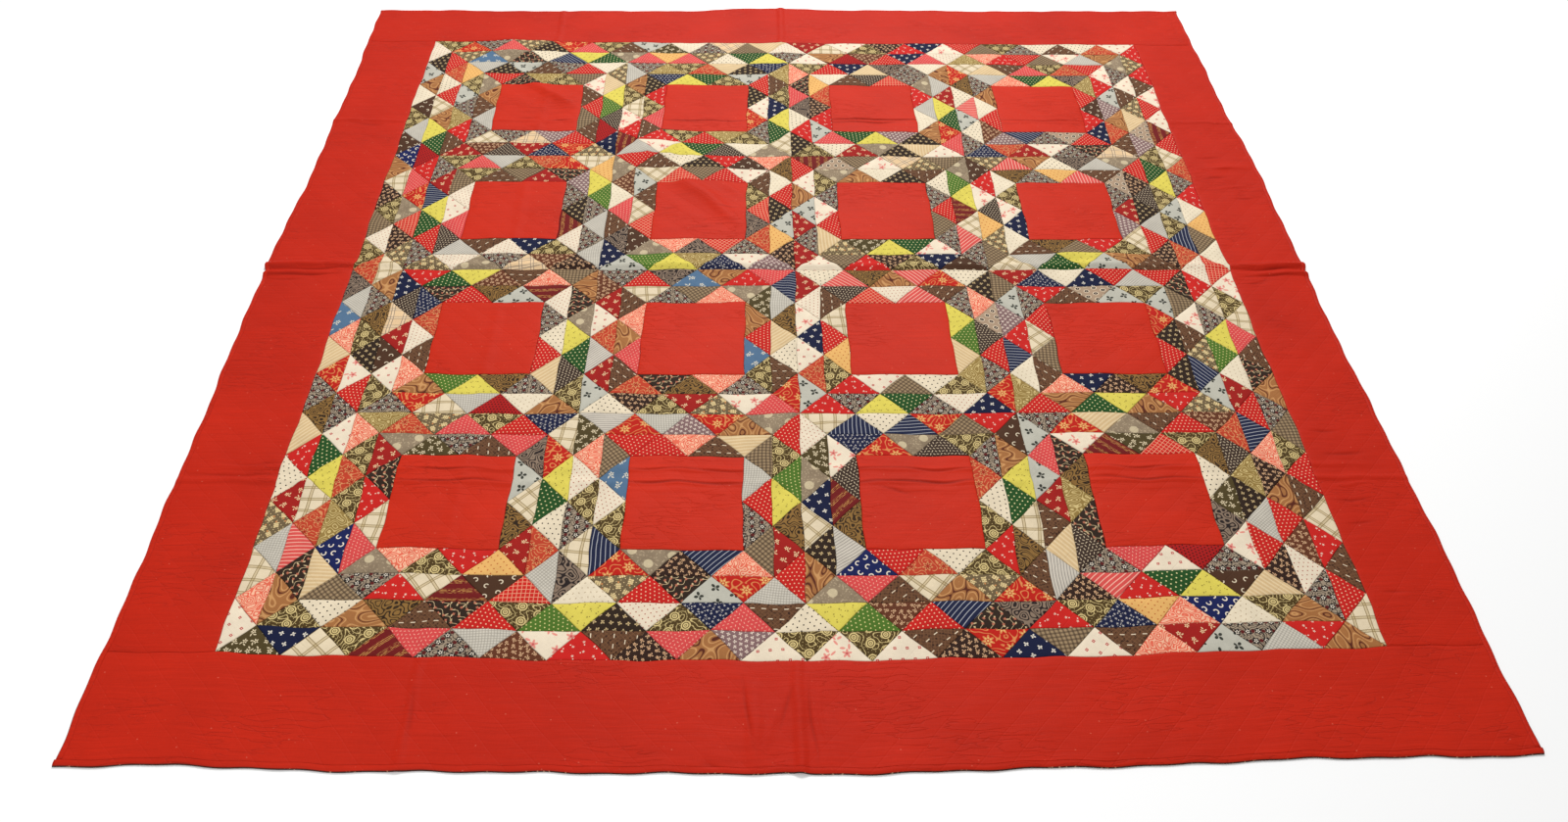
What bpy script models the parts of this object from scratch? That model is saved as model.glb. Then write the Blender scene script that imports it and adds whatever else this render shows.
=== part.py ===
"""Patchwork quilt lying flat on the floor, built in metres with +Z up.

The layout is counted in steps of half a triangle's long side. u runs across the quilt from its
left patchwork edge, and v runs from its far patchwork edge towards the near one. Sixteen blocks of
eight steps hold a plain square each. A frame two steps wide goes round them, then a plain border,
then a narrow binding. Every piece is one thin closed solid that follows the same folds.
"""

import math
from collections import namedtuple

import bmesh
import bpy
from mathutils import Vector

# Driving sizes, in metres
TRIANGLE_BASE = 0.100
CLOTH_THICKNESS = 0.003
QUILTING_RISE = 0.0010
PIECE_GAP = 0.0003
BINDING_WIDTH = 0.010
BINDING_EXTRA = 0.0005
BINDING_LIP = 0.0014
FIELD_SAG = 0.020

# Layout, in steps
STEP = TRIANGLE_BASE / 2
BLOCKS = 4
BLOCK = 8
SQUARE = 4
FRAME = 2
FIELD = BLOCKS * BLOCK + 2 * FRAME
BORDER = 3.2
BORDER_LINES = (1, 2)
BINDING = BINDING_WIDTH / STEP
BINDING_BEND = 0.6 * BINDING
EDGE = BORDER + BINDING
TOUCHING = 1e-6

# Width of the border as it lies, in steps, at points along it
SideRow = namedtuple("SideRow", "at left right")
SIDE_ROWS = (
    SideRow(at=-3.0, left=3.24, right=2.84),
    SideRow(at=4.5, left=3.16, right=2.86),
    SideRow(at=12.0, left=3.20, right=3.06),
    SideRow(at=17.7, left=3.40, right=2.98),
    SideRow(at=23.0, left=3.32, right=2.96),
    SideRow(at=29.5, left=3.24, right=3.06),
    SideRow(at=39.0, left=3.22, right=3.06),
)
EndRow = namedtuple("EndRow", "at far near")
END_ROWS = (
    EndRow(at=-3.0, far=3.02, near=3.48),
    EndRow(at=6.0, far=3.02, near=3.52),
    EndRow(at=12.0, far=3.10, near=3.44),
    EndRow(at=17.0, far=3.42, near=3.50),
    EndRow(at=22.0, far=3.28, near=3.46),
    EndRow(at=30.0, far=3.26, near=3.42),
    EndRow(at=39.0, far=3.38, near=3.50),
)

# Creases left by folding: a ridge along one line of the layout, with its two heights in metres
Crease = namedtuple("Crease", "runs at half_width near_edge inside")
CREASES = (
    Crease(runs="across", at=7.20, half_width=0.20, near_edge=0.0020, inside=0.0015),
    Crease(runs="across", at=17.72, half_width=0.28, near_edge=0.0075, inside=0.0045),
    Crease(runs="across", at=18.22, half_width=0.22, near_edge=0.0055, inside=0.0),
    Crease(runs="across", at=28.60, half_width=0.20, near_edge=0.0, inside=0.0020),
    Crease(runs="across", at=29.20, half_width=0.20, near_edge=0.0015, inside=0.0025),
    Crease(runs="along", at=6.25, half_width=0.25, near_edge=0.0015, inside=0.0012),
    Crease(runs="along", at=17.72, half_width=0.28, near_edge=0.0035, inside=0.0020),
)

# Places where the cloth stands off the floor in a soft hump; reaches are in steps
Hump = namedtuple("Hump", "name u v reach_u reach_v height")
HUMPS = (
    Hump(name="behind the second square", u=11.4, v=9.4, reach_u=2.6, reach_v=2.8, height=0.011),
    Hump(name="above the second row", u=14.0, v=11.4, reach_u=2.2, reach_v=2.0, height=0.006),
    Hump(name="far left corner", u=4.6, v=0.4, reach_u=3.0, reach_v=2.4, height=0.008),
    Hump(name="right of the middle", u=30.2, v=17.4, reach_u=3.4, reach_v=1.8, height=0.005),
    Hump(name="left of the middle", u=13.6, v=17.2, reach_u=3.0, reach_v=1.8, height=0.004),
    Hump(name="pleat in the near border", u=16.4, v=38.0, reach_u=0.4, reach_v=1.9, height=0.003),
    Hump(name="pleat in the right border", u=37.8, v=10.8, reach_u=1.7, reach_v=0.4, height=0.003),
)

# Line positions that a crease needs besides the whole steps
CREASE_LINES_U = (6.25, 6.5, 16.4, 16.8, 17.44, 17.72)
CREASE_LINES_V = (
    *(7.0, 7.2, 7.4),
    *(10.4, 10.8, 11.2),
    *(17.44, 17.72, 18.22, 18.44),
    *(28.4, 28.6, 28.8, 29.0, 29.2, 29.4),
)

# The pieces. inner is the hole of a block, where its square lies
Piece = namedtuple("Piece", "name outer inner cloth")
Cloth = namedtuple("Cloth", "name colour roughness")
RED_COTTON = Cloth("plain_red_cotton", (0.56, 0.026, 0.016, 1.0), 0.82)
PRINTED_COTTON = Cloth("printed_cotton_patches", (0.36, 0.27, 0.19, 1.0), 0.85)
BINDING_COTTON = Cloth("red_binding_cotton", (0.46, 0.020, 0.014, 1.0), 0.84)


def eased(rows, at, column):
    """Value of a table's column at a place between its rows, eased from row to row."""
    if at <= rows[0].at:
        return getattr(rows[0], column)
    for row, after in zip(rows, rows[1:]):
        if at <= after.at:
            share = (at - row.at) / (after.at - row.at)
            share = share * share * (3 - 2 * share)
            return getattr(row, column) * (1 - share) + getattr(after, column) * share
    return getattr(rows[-1], column)


def border_width(rows, at, column):
    """Width of the border at a place, straight from each second line to the next."""
    low = 2 * math.floor(at / 2)
    share = (at - low) / 2
    return eased(rows, low, column) * (1 - share) + eased(rows, low + 2, column) * share


def stretched(distance, width):
    """How far a border point lies from the patchwork, where the border is this wide."""
    if distance <= BORDER:
        return distance * width / BORDER
    return width + distance - BORDER


def laid_out(u, v):
    """Place on the floor, in metres, of a point of the layout."""
    x, y = u, v
    if u < 0:
        x = -stretched(-u, border_width(SIDE_ROWS, v, "left"))
    elif u > FIELD:
        x = FIELD + stretched(u - FIELD, border_width(SIDE_ROWS, v, "right"))
    if v < 0:
        y = -stretched(-v, border_width(END_ROWS, u, "far"))
    elif v > FIELD:
        y = FIELD + stretched(v - FIELD, border_width(END_ROWS, u, "near"))
    across = min(max(u / FIELD, 0.0), 1.0)
    down = min(max(v / FIELD, 0.0), 1.0)
    sag = FIELD_SAG * math.sin(math.pi * across) * down**4
    return x * STEP, -y * STEP - sag


def bump(distance, reach):
    """A soft swelling: 1 at no distance, and exactly 0 from its reach on."""
    return math.cos(0.5 * math.pi * distance / reach) ** 2 if distance < reach else 0.0


def lift(u, v):
    """Height of the quilt's underside over the floor."""
    height = 0.0
    for crease in CREASES:
        over, along = (v, u) if crease.runs == "across" else (u, v)
        outside = min(max(max(-along, along - FIELD) / BORDER, 0.0), 1.0)
        rise = crease.inside * (1 - outside) + crease.near_edge * outside
        height = max(height, rise * bump(abs(over - crease.at), crease.half_width))
    for hump in HUMPS:
        away = math.hypot((u - hump.u) / hump.reach_u, (v - hump.v) / hump.reach_v)
        height += hump.height * bump(away, 1.0)
    return height


def quilting(u, v):
    """Rise of the padded diamonds between the diagonal rows of quilting."""
    rising = abs(math.sin(0.5 * math.pi * (u + v)))
    falling = abs(math.sin(0.5 * math.pi * (u - v)))
    return QUILTING_RISE * rising * falling


def past_border(u, v):
    """How far a point lies past the border, on the binding, in steps."""
    return max(-u, u - FIELD, -v, v - FIELD) - BORDER


def thickness(u, v, bound):
    """Thickness of the quilt, or of its binding, which thins to a lip at the edge."""
    if not bound:
        return CLOTH_THICKNESS + quilting(u, v)
    share = (past_border(u, v) - BINDING_BEND) / (BINDING - BINDING_BEND)
    full = CLOTH_THICKNESS + BINDING_EXTRA
    return full + (BINDING_LIP - full) * min(max(share, 0.0), 1.0)


def lines(crease_lines, fine):
    """Positions of the grid's lines along one direction, fine ones for the upper face."""
    inside = range(0, FIELD + 1, 1 if fine else 2)
    outside = [*BORDER_LINES, BORDER, BORDER + BINDING_BEND, EDGE]
    if not fine:
        outside.remove(BORDER_LINES[0])
    both_sides = [-d for d in outside] + [FIELD + d for d in outside]
    return sorted({round(float(x), 6) for x in [*inside, *both_sides, *crease_lines]})


def cell_halves(left, right, far, near):
    """The two triangles of a grid cell, split along the seam or the mitre that crosses it."""
    middle_u, middle_v = (left + right) / 2, (far + near) / 2
    on_falling = abs(middle_u - middle_v) < TOUCHING
    on_rising = abs(middle_u + middle_v - FIELD) < TOUCHING
    falling = on_falling or (not on_rising and round(left + far) % 2 == 0)
    a, b, c, d = (left, near), (right, near), (right, far), (left, far)
    return ((a, b, d), (b, c, d)) if falling else ((a, b, c), (a, c, d))


def side_of(point, start, end):
    """Signed distance of a point from a line, positive on its left as seen from above."""
    along = Vector((end[0] - start[0], start[1] - end[1])).normalized()
    offset = Vector((point[0] - start[0], start[1] - point[1]))
    return along.x * offset.y - along.y * offset.x


def edges_of(outline):
    """Start and end of each side of an outline."""
    return list(zip(outline, outline[1:] + outline[:1]))


def inside(point, outline):
    """Whether a point lies in an outline that runs anticlockwise as seen from above."""
    return all(side_of(point, *edge) > -TOUCHING for edge in edges_of(outline))


def drawn_in(point, piece):
    """The point moved half a gap into its piece from each side that it lies on."""
    sides = [edge for edge in edges_of(piece.outer) if abs(side_of(point, *edge)) < TOUCHING]
    if piece.inner and inside(point, piece.inner):
        hole = [edge for edge in edges_of(piece.inner) if abs(side_of(point, *edge)) < TOUCHING]
        sides = [(end, start) for start, end in hole]
    if not sides:
        return point
    half_gap = PIECE_GAP / 2 / STEP
    normals = []
    for start, end in sides[:2]:
        along = Vector((end[0] - start[0], end[1] - start[1])).normalized()
        normals.append(Vector((along.y, -along.x)))
    if len(normals) == 1:
        move = normals[0] * half_gap
    else:
        move = (normals[0] + normals[1]) * half_gap / (1 + normals[0].dot(normals[1]))
    return point[0] + move.x, point[1] + move.y


def boundary(triangles):
    """The edges that only one triangle uses, as a map from each start to its end."""
    directed = {(t[i], t[(i + 1) % 3]) for t in triangles for i in range(3)}
    return {start: end for start, end in directed if (end, start) not in directed}


def sheet_grid(piece, fine):
    """The triangles of one face of a piece, as points of the layout."""
    columns, rows = lines(CREASE_LINES_U, fine), lines(CREASE_LINES_V, fine)
    found = []
    for left, right in zip(columns, columns[1:]):
        for far, near in zip(rows, rows[1:]):
            for half in cell_halves(left, right, far, near):
                middle = (sum(p[0] for p in half) / 3, sum(p[1] for p in half) / 3)
                in_hole = piece.inner and inside(middle, piece.inner)
                if inside(middle, piece.outer) and not in_hole:
                    found.append(half)
    return found


def sheet_mesh(piece):
    """The piece as a closed bmesh: upper face, underside and the cut edges between them."""
    bound = piece.cloth is BINDING_COTTON
    mesh = bmesh.new()
    made = {}

    def vertex(point, on_top):
        if (point, on_top) not in made:
            x, y = laid_out(*drawn_in(point, piece))
            height = lift(*point) + (thickness(*point, bound) if on_top else 0.0)
            made[point, on_top] = mesh.verts.new((x, y, height))
        return made[point, on_top]

    upper, under = sheet_grid(piece, True), sheet_grid(piece, False)
    for triangle in upper:
        mesh.faces.new([vertex(p, True) for p in triangle])
    for triangle in under:
        mesh.faces.new([vertex(p, False) for p in reversed(triangle)])
    next_above, next_below = boundary(upper), boundary(under)
    for start, end in next_below.items():
        chain = [start]
        while chain[-1] != end:
            chain.append(next_above[chain[-1]])
        above = [vertex(p, True) for p in reversed(chain)]
        mesh.faces.new([vertex(start, False), vertex(end, False), *above])
    bmesh.ops.triangulate(mesh, faces=[f for f in mesh.faces if len(f.verts) > 3])
    bmesh.ops.recalc_face_normals(mesh, faces=mesh.faces)
    return mesh


def rectangle(left, right, far, near):
    """Outline of a rectangle, anticlockwise as seen from above."""
    return [(left, near), (right, near), (right, far), (left, far)]


def block_pieces():
    """The sixteen blocks of triangles and the plain square inside each."""
    pieces = []
    wall = (BLOCK - SQUARE) // 2
    for row in range(BLOCKS):
        for column in range(BLOCKS):
            left, far = FRAME + column * BLOCK, FRAME + row * BLOCK
            outer = rectangle(left, left + BLOCK, far, far + BLOCK)
            inner = rectangle(
                left + wall, left + wall + SQUARE, far + wall, far + wall + SQUARE
            )
            place = f"r{row + 1}_c{column + 1}"
            pieces.append(Piece(f"block_{place}", outer, inner, PRINTED_COTTON))
            pieces.append(Piece(f"square_{place}", inner, None, RED_COTTON))
    return pieces


def frame_pieces():
    """The four strips of triangles round the blocks, mitred at the corners."""
    low, high = FRAME, FIELD - FRAME
    strips = {
        "frame_far": [(low, low), (high, low), (FIELD, 0), (0, 0)],
        "frame_near": [(0, FIELD), (FIELD, FIELD), (high, high), (low, high)],
        "frame_left": [(0, FIELD), (low, high), (low, low), (0, 0)],
        "frame_right": [(high, high), (FIELD, FIELD), (FIELD, 0), (high, low)],
    }
    return [Piece(name, outline, None, PRINTED_COTTON) for name, outline in strips.items()]


def border_pieces():
    """The plain border, its ends running the whole width and its sides between them."""
    strips = {
        "border_far": rectangle(-BORDER, FIELD + BORDER, -BORDER, 0),
        "border_near": rectangle(-BORDER, FIELD + BORDER, FIELD, FIELD + BORDER),
        "border_left": rectangle(-BORDER, 0, 0, FIELD),
        "border_right": rectangle(FIELD, FIELD + BORDER, 0, FIELD),
    }
    return [Piece(name, outline, None, RED_COTTON) for name, outline in strips.items()]


def binding_pieces():
    """The narrow binding along each edge."""
    low, high = -EDGE, FIELD + EDGE
    strips = {
        "binding_far": rectangle(low, high, low, -BORDER),
        "binding_near": rectangle(low, high, FIELD + BORDER, high),
        "binding_left": rectangle(low, -BORDER, -BORDER, FIELD + BORDER),
        "binding_right": rectangle(FIELD + BORDER, high, -BORDER, FIELD + BORDER),
    }
    return [Piece(name, outline, None, BINDING_COTTON) for name, outline in strips.items()]


def material(cloth):
    """The cloth's material, made once."""
    found = bpy.data.materials.get(cloth.name)
    if found:
        return found
    made = bpy.data.materials.new(cloth.name)
    made.use_nodes = True
    shader = made.node_tree.nodes["Principled BSDF"]
    shader.inputs["Base Color"].default_value = cloth.colour
    shader.inputs["Roughness"].default_value = cloth.roughness
    shader.inputs["Metallic"].default_value = 0.0
    return made


def add_object(piece, mesh, centre, parent):
    """One named object for the piece, with its origin in the middle of its underside."""
    low = Vector([min(v.co[i] for v in mesh.verts) for i in range(3)])
    high = Vector([max(v.co[i] for v in mesh.verts) for i in range(3)])
    origin = Vector(((low.x + high.x) / 2, (low.y + high.y) / 2, 0.0))
    bmesh.ops.translate(mesh, verts=mesh.verts, vec=-origin)
    data = bpy.data.meshes.new(piece.name)
    mesh.to_mesh(data)
    mesh.free()
    data.materials.append(material(piece.cloth))
    made = bpy.data.objects.new(piece.name, data)
    made.location = origin - centre
    made.parent = parent
    bpy.context.scene.collection.objects.link(made)


def middle_of(meshes):
    """Middle of the whole quilt's outline on the floor."""
    across = [v.co.x for mesh in meshes for v in mesh.verts]
    along = [v.co.y for mesh in meshes for v in mesh.verts]
    return Vector(((min(across) + max(across)) / 2, (min(along) + max(along)) / 2, 0.0))


def main():
    """Clears the scene and builds every piece of the quilt."""
    for old in list(bpy.data.objects):
        bpy.data.objects.remove(old)
    quilt = bpy.data.objects.new("quilt", None)
    bpy.context.scene.collection.objects.link(quilt)
    pieces = block_pieces() + frame_pieces() + border_pieces() + binding_pieces()
    meshes = [sheet_mesh(piece) for piece in pieces]
    centre = middle_of(meshes)
    for piece, mesh in zip(pieces, meshes):
        add_object(piece, mesh, centre, quilt)


main()
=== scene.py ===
"""The looks of a patchwork quilt that lies spread out on a floor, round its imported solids.

The layout is counted in steps of half a patch's long side. u runs across the quilt from the left
edge of its patchwork, and v runs from the far edge of the patchwork towards the near one.
"""

import logging
import math
from dataclasses import dataclass, field
from enum import Enum
from typing import Callable, Sequence

import bpy
import numpy as np
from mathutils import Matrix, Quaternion, Vector


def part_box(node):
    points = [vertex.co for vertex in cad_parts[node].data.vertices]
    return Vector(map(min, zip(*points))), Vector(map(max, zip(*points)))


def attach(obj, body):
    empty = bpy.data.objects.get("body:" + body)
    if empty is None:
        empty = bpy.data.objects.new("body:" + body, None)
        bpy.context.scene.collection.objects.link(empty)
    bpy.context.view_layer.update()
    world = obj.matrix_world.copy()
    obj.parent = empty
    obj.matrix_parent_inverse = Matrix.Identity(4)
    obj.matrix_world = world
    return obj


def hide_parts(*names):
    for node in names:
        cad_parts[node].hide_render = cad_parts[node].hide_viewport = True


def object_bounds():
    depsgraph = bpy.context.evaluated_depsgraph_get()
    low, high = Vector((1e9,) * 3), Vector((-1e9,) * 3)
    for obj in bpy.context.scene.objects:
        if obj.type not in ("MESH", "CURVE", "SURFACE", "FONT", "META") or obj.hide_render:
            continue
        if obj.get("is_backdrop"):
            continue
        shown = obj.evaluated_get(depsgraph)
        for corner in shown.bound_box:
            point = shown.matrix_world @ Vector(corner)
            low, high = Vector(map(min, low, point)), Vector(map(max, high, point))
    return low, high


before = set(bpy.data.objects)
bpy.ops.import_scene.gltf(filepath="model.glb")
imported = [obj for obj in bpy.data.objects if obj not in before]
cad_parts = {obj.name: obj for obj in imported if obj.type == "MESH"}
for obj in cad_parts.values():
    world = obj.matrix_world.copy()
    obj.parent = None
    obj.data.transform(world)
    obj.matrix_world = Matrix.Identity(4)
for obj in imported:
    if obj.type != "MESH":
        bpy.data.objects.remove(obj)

LOG = logging.getLogger("quilt")
CAD_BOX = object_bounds()

STEP = 0.050
FIELD = 36
BLOCKS = 4
BLOCK = 8
SQUARE = 4
FRAME = 2
BORDER = 3.2
BINDING = 0.2
EDGE = BORDER + BINDING
THICKNESS = 0.0030
FIELD_SAG = 0.020

PRINT = "cloth"
PLACE = "lay"
STUDIO_LIGHT = 1.10
Layers = list[tuple["Wire", tuple[float, float, float]]]


def linear(red: float, green: float, blue: float) -> tuple[float, float, float]:
    """A colour seen on a screen, from 0 to 255 each, as the light that a shader counts in.

    Args:
        red: Red, from 0 to 255.
        green: Green, from 0 to 255.
        blue: Blue, from 0 to 255.

    Returns:
        The three as linear light from 0 to 1, darker by as much as the studio is bright.
    """

    def one(value: float) -> float:
        """One channel by the screen's own curve."""
        part = value / 255
        light = part / 12.92 if part <= 0.04045 else ((part + 0.055) / 1.055) ** 2.4
        return light / STUDIO_LIGHT

    return one(red), one(green), one(blue)


# How the quilt lies


class Runs(Enum):
    """Which way a crease runs over the quilt."""

    ACROSS = "across"
    ALONG = "along"


@dataclass(frozen=True)
class Crease:
    """A ridge that folding has left along a line of the layout, its heights in metres."""

    runs: Runs
    at: float
    half_width: float
    near_edge: float
    inside: float

    def height(self, u: np.ndarray, v: np.ndarray) -> np.ndarray:
        """The crease's rise: its height times a squared cosine across it.

        Args:
            u: Places across the quilt, in steps.
            v: Places along it, in steps.

        Returns:
            The rise over the floor, in metres.
        """
        over, along = (v, u) if self.runs is Runs.ACROSS else (u, v)
        outside = np.clip(np.maximum(-along, along - FIELD) / BORDER, 0.0, 1.0)
        rise = self.inside * (1 - outside) + self.near_edge * outside
        return rise * bump(np.abs(over - self.at), self.half_width)


@dataclass(frozen=True)
class Hump:
    """A place where the cloth stands off the floor, its reaches in steps, its height in metres."""

    u: float
    v: float
    reach_u: float
    reach_v: float
    height: float

    def rise(self, u: np.ndarray, v: np.ndarray) -> np.ndarray:
        """The hump's rise: its height times a squared cosine of the way from its middle."""
        away = np.hypot((u - self.u) / self.reach_u, (v - self.v) / self.reach_v)
        return self.height * bump(away, 1.0)


@dataclass(frozen=True)
class Wrinkle:
    """A short soft ridge or trough in the face, its place and length in steps.

    height is in metres, and under 0 for a trough. turn is the angle from straight across.
    """

    u: float
    v: float
    length: float
    width: float
    height: float
    turn: float = 0.0

    def rise(self, u: np.ndarray, v: np.ndarray) -> np.ndarray:
        """The wrinkle's rise: a bell across it, times a squared cosine along it."""
        c, s = math.cos(math.radians(self.turn)), math.sin(math.radians(self.turn))
        along = (u - self.u) * c + (v - self.v) * s
        over = (v - self.v) * c - (u - self.u) * s + 0.05 * np.sin(along * 2.3 + self.u)
        return self.height * np.exp(-((over / self.width) ** 2)) * bump(np.abs(along), self.length / 2)


def bump(distance: np.ndarray, reach: float) -> np.ndarray:
    """A soft swelling: 1 at no distance, and 0 from its reach on."""
    return np.where(distance < reach, np.cos(0.5 * math.pi * np.minimum(distance / reach, 1.0)) ** 2, 0.0)


CREASES = (
    Crease(Runs.ACROSS, 7.20, 0.20, 0.0020, 0.0015),
    Crease(Runs.ACROSS, 17.72, 0.28, 0.0075, 0.0045),
    Crease(Runs.ACROSS, 18.22, 0.22, 0.0055, 0.0000),
    Crease(Runs.ACROSS, 28.60, 0.20, 0.0000, 0.0020),
    Crease(Runs.ACROSS, 29.20, 0.20, 0.0015, 0.0025),
    Crease(Runs.ALONG, 6.25, 0.25, 0.0015, 0.0012),
    Crease(Runs.ALONG, 17.72, 0.28, 0.0035, 0.0020),
)
HUMPS = (
    Hump(11.4, 9.4, 2.6, 2.8, 0.011),
    Hump(14.0, 11.4, 2.2, 2.0, 0.006),
    Hump(4.6, 0.4, 3.0, 2.4, 0.008),
    Hump(30.2, 17.4, 3.4, 1.8, 0.005),
    Hump(13.6, 17.2, 3.0, 1.8, 0.004),
    Hump(16.4, 38.0, 0.4, 1.9, 0.003),
    Hump(37.8, 10.8, 1.7, 0.4, 0.003),
)
WRINKLES = (
    Wrinkle(-1.7, 18.00, 4.2, 0.045, -0.0022, -0.6),
    Wrinkle(-1.8, 18.36, 3.8, 0.040, -0.0020, -0.6),
    Wrinkle(-2.6, 18.62, 2.4, 0.040, -0.0012, 1.5),
    Wrinkle(37.6, 17.62, 4.0, 0.040, -0.0016, 1.0),
    Wrinkle(37.7, 17.98, 3.8, 0.045, -0.0022, 1.0),
    Wrinkle(37.8, 18.38, 3.4, 0.040, -0.0018, 1.5),
    Wrinkle(37.0, 18.75, 2.0, 0.040, -0.0010, -1.0),
    Wrinkle(28.0, 17.60, 9.0, 0.060, -0.0018, 0.4),
    Wrinkle(8.0, 17.90, 9.0, 0.060, -0.0014, -0.3),
    Wrinkle(5.6, 28.62, 4.6, 0.045, -0.0020, 2.0),
    Wrinkle(5.9, 29.14, 7.0, 0.050, -0.0026, -1.0),
    Wrinkle(5.9, 29.42, 6.0, 0.16, 0.0010, -1.0),
    Wrinkle(14.0, 28.62, 7.6, 0.045, -0.0018, 1.0),
    Wrinkle(14.0, 29.20, 7.6, 0.055, -0.0028, 0.0),
    Wrinkle(14.1, 29.50, 6.6, 0.16, 0.0010, 0.0),
    Wrinkle(22.0, 28.62, 7.6, 0.045, -0.0018, 1.0),
    Wrinkle(22.1, 29.18, 7.4, 0.060, -0.0032, 0.0),
    Wrinkle(22.1, 29.48, 7.0, 0.16, 0.0012, 0.0),
    Wrinkle(21.2, 29.60, 1.8, 0.05, -0.0016, 14.0),
    Wrinkle(30.0, 28.60, 7.4, 0.045, -0.0016, 0.0),
    Wrinkle(30.1, 29.12, 7.6, 0.055, -0.0026, 1.5),
    Wrinkle(30.1, 29.42, 7.0, 0.16, 0.0010, 1.5),
    Wrinkle(5.6, 6.98, 1.2, 0.05, -0.0014, 4.0),
    Wrinkle(7.2, 7.16, 1.9, 0.05, -0.0026, 3.0),
    Wrinkle(14.0, 7.14, 7.2, 0.060, -0.0030, 0.0),
    Wrinkle(14.0, 7.42, 6.4, 0.16, 0.0010, 0.0),
    Wrinkle(22.0, 6.98, 7.4, 0.060, -0.0034, 0.5),
    Wrinkle(21.5, 7.26, 4.6, 0.050, -0.0024, 0.0),
    Wrinkle(22.0, 7.54, 6.4, 0.16, 0.0010, 0.0),
    Wrinkle(30.0, 7.05, 7.0, 0.05, -0.0020, 0.0),
    Wrinkle(12.6, 13.9, 1.0, 0.05, -0.0016, 2.0),
    Wrinkle(15.2, 13.9, 1.2, 0.05, -0.0018, -2.0),
    Wrinkle(14.3, 15.2, 1.8, 0.05, -0.0014, -3.0),
    Wrinkle(7.6, 12.9, 1.0, 0.05, -0.0016, 0.0),
    Wrinkle(16.2, 37.6, 3.0, 0.05, -0.0011, 78.0),
    Wrinkle(16.9, 38.1, 2.2, 0.12, 0.0012, 104.0),
    Wrinkle(17.4, 37.4, 2.2, 0.05, -0.0010, 112.0),
    Wrinkle(18.1, 37.9, 3.4, 0.040, -0.0013, 88.0),
    Wrinkle(18.4, 37.9, 2.8, 0.07, 0.0008, 88.0),
    Wrinkle(6.3, 37.8, 2.6, 0.08, -0.0010, 91.0),
    Wrinkle(13.5, 38.9, 1.2, 0.05, -0.0010, 8.0),
    Wrinkle(15.2, 39.2, 0.8, 0.05, -0.0010, 6.0),
    Wrinkle(22.6, 38.7, 1.0, 0.05, -0.0008, -6.0),
    Wrinkle(37.3, 10.1, 1.8, 0.07, -0.0012, 0.0),
    Wrinkle(37.6, 10.9, 2.0, 0.08, 0.0016, 3.0),
    Wrinkle(37.2, 11.6, 1.6, 0.07, -0.0014, -2.0),
    Wrinkle(37.8, 12.3, 1.6, 0.08, 0.0014, 0.0),
    Wrinkle(38.1, 13.2, 1.2, 0.06, -0.0012, 4.0),
    Wrinkle(37.0, 27.0, 1.6, 0.06, -0.0012, 2.0),
    Wrinkle(37.4, 28.1, 2.4, 0.07, -0.0014, 1.0),
    Wrinkle(37.2, 29.5, 2.2, 0.07, 0.0014, 0.0),
    Wrinkle(37.0, 30.2, 1.8, 0.06, -0.0014, 1.0),
    Wrinkle(36.9, 31.2, 1.4, 0.06, -0.0010, -2.0),
    Wrinkle(36.9, 34.0, 1.2, 0.06, -0.0010, 2.0),
    Wrinkle(-1.4, 28.95, 4.4, 0.040, -0.0014, 0.0),
    Wrinkle(-1.0, 28.45, 3.4, 0.040, -0.0011, 1.0),
    Wrinkle(-1.2, 24.6, 1.4, 0.045, -0.0010, -2.0),
    Wrinkle(-1.6, 7.5, 2.8, 0.08, -0.0010, 1.0),
    Wrinkle(6.6, 4.9, 6.8, 0.34, 0.0080, 43.0),
    Wrinkle(5.9, 5.5, 4.4, 0.18, -0.0018, 41.0),
    Wrinkle(7.6, 6.1, 2.6, 0.14, -0.0020, 45.0),
    Wrinkle(9.7, 9.2, 2.2, 0.20, 0.0052, 20.0),
    Wrinkle(10.0, 9.7, 1.8, 0.14, -0.0020, 24.0),
    Wrinkle(10.9, 8.6, 2.0, 0.22, 0.0050, 62.0),
    Wrinkle(11.5, 9.9, 1.8, 0.17, 0.0046, 78.0),
    Wrinkle(12.6, 9.6, 1.8, 0.18, 0.0048, -66.0),
    Wrinkle(13.3, 9.9, 1.6, 0.15, 0.0036, 70.0),
    Wrinkle(14.4, 13.3, 7.6, 0.34, 0.0082, 49.0),
    Wrinkle(13.6, 13.8, 4.0, 0.18, -0.0018, 50.0),
    Wrinkle(15.4, 12.6, 2.6, 0.20, 0.0034, 38.0),
    Wrinkle(13.2, 10.8, 3.0, 0.26, 0.0044, 4.0),
    Wrinkle(29.6, 17.0, 3.6, 0.26, 0.0042, 8.0),
    Wrinkle(4.4, 1.2, 3.2, 0.22, 0.0040, 14.0),
    Wrinkle(5.8, 2.1, 2.6, 0.20, 0.0034, -12.0),
    Wrinkle(28.4, 17.9, 2.4, 0.18, 0.0030, -10.0),
)


@dataclass(frozen=True)
class Width:
    """How wide the border lies on two facing sides, in steps, at one place along them."""

    at: float
    first: float
    second: float


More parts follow.
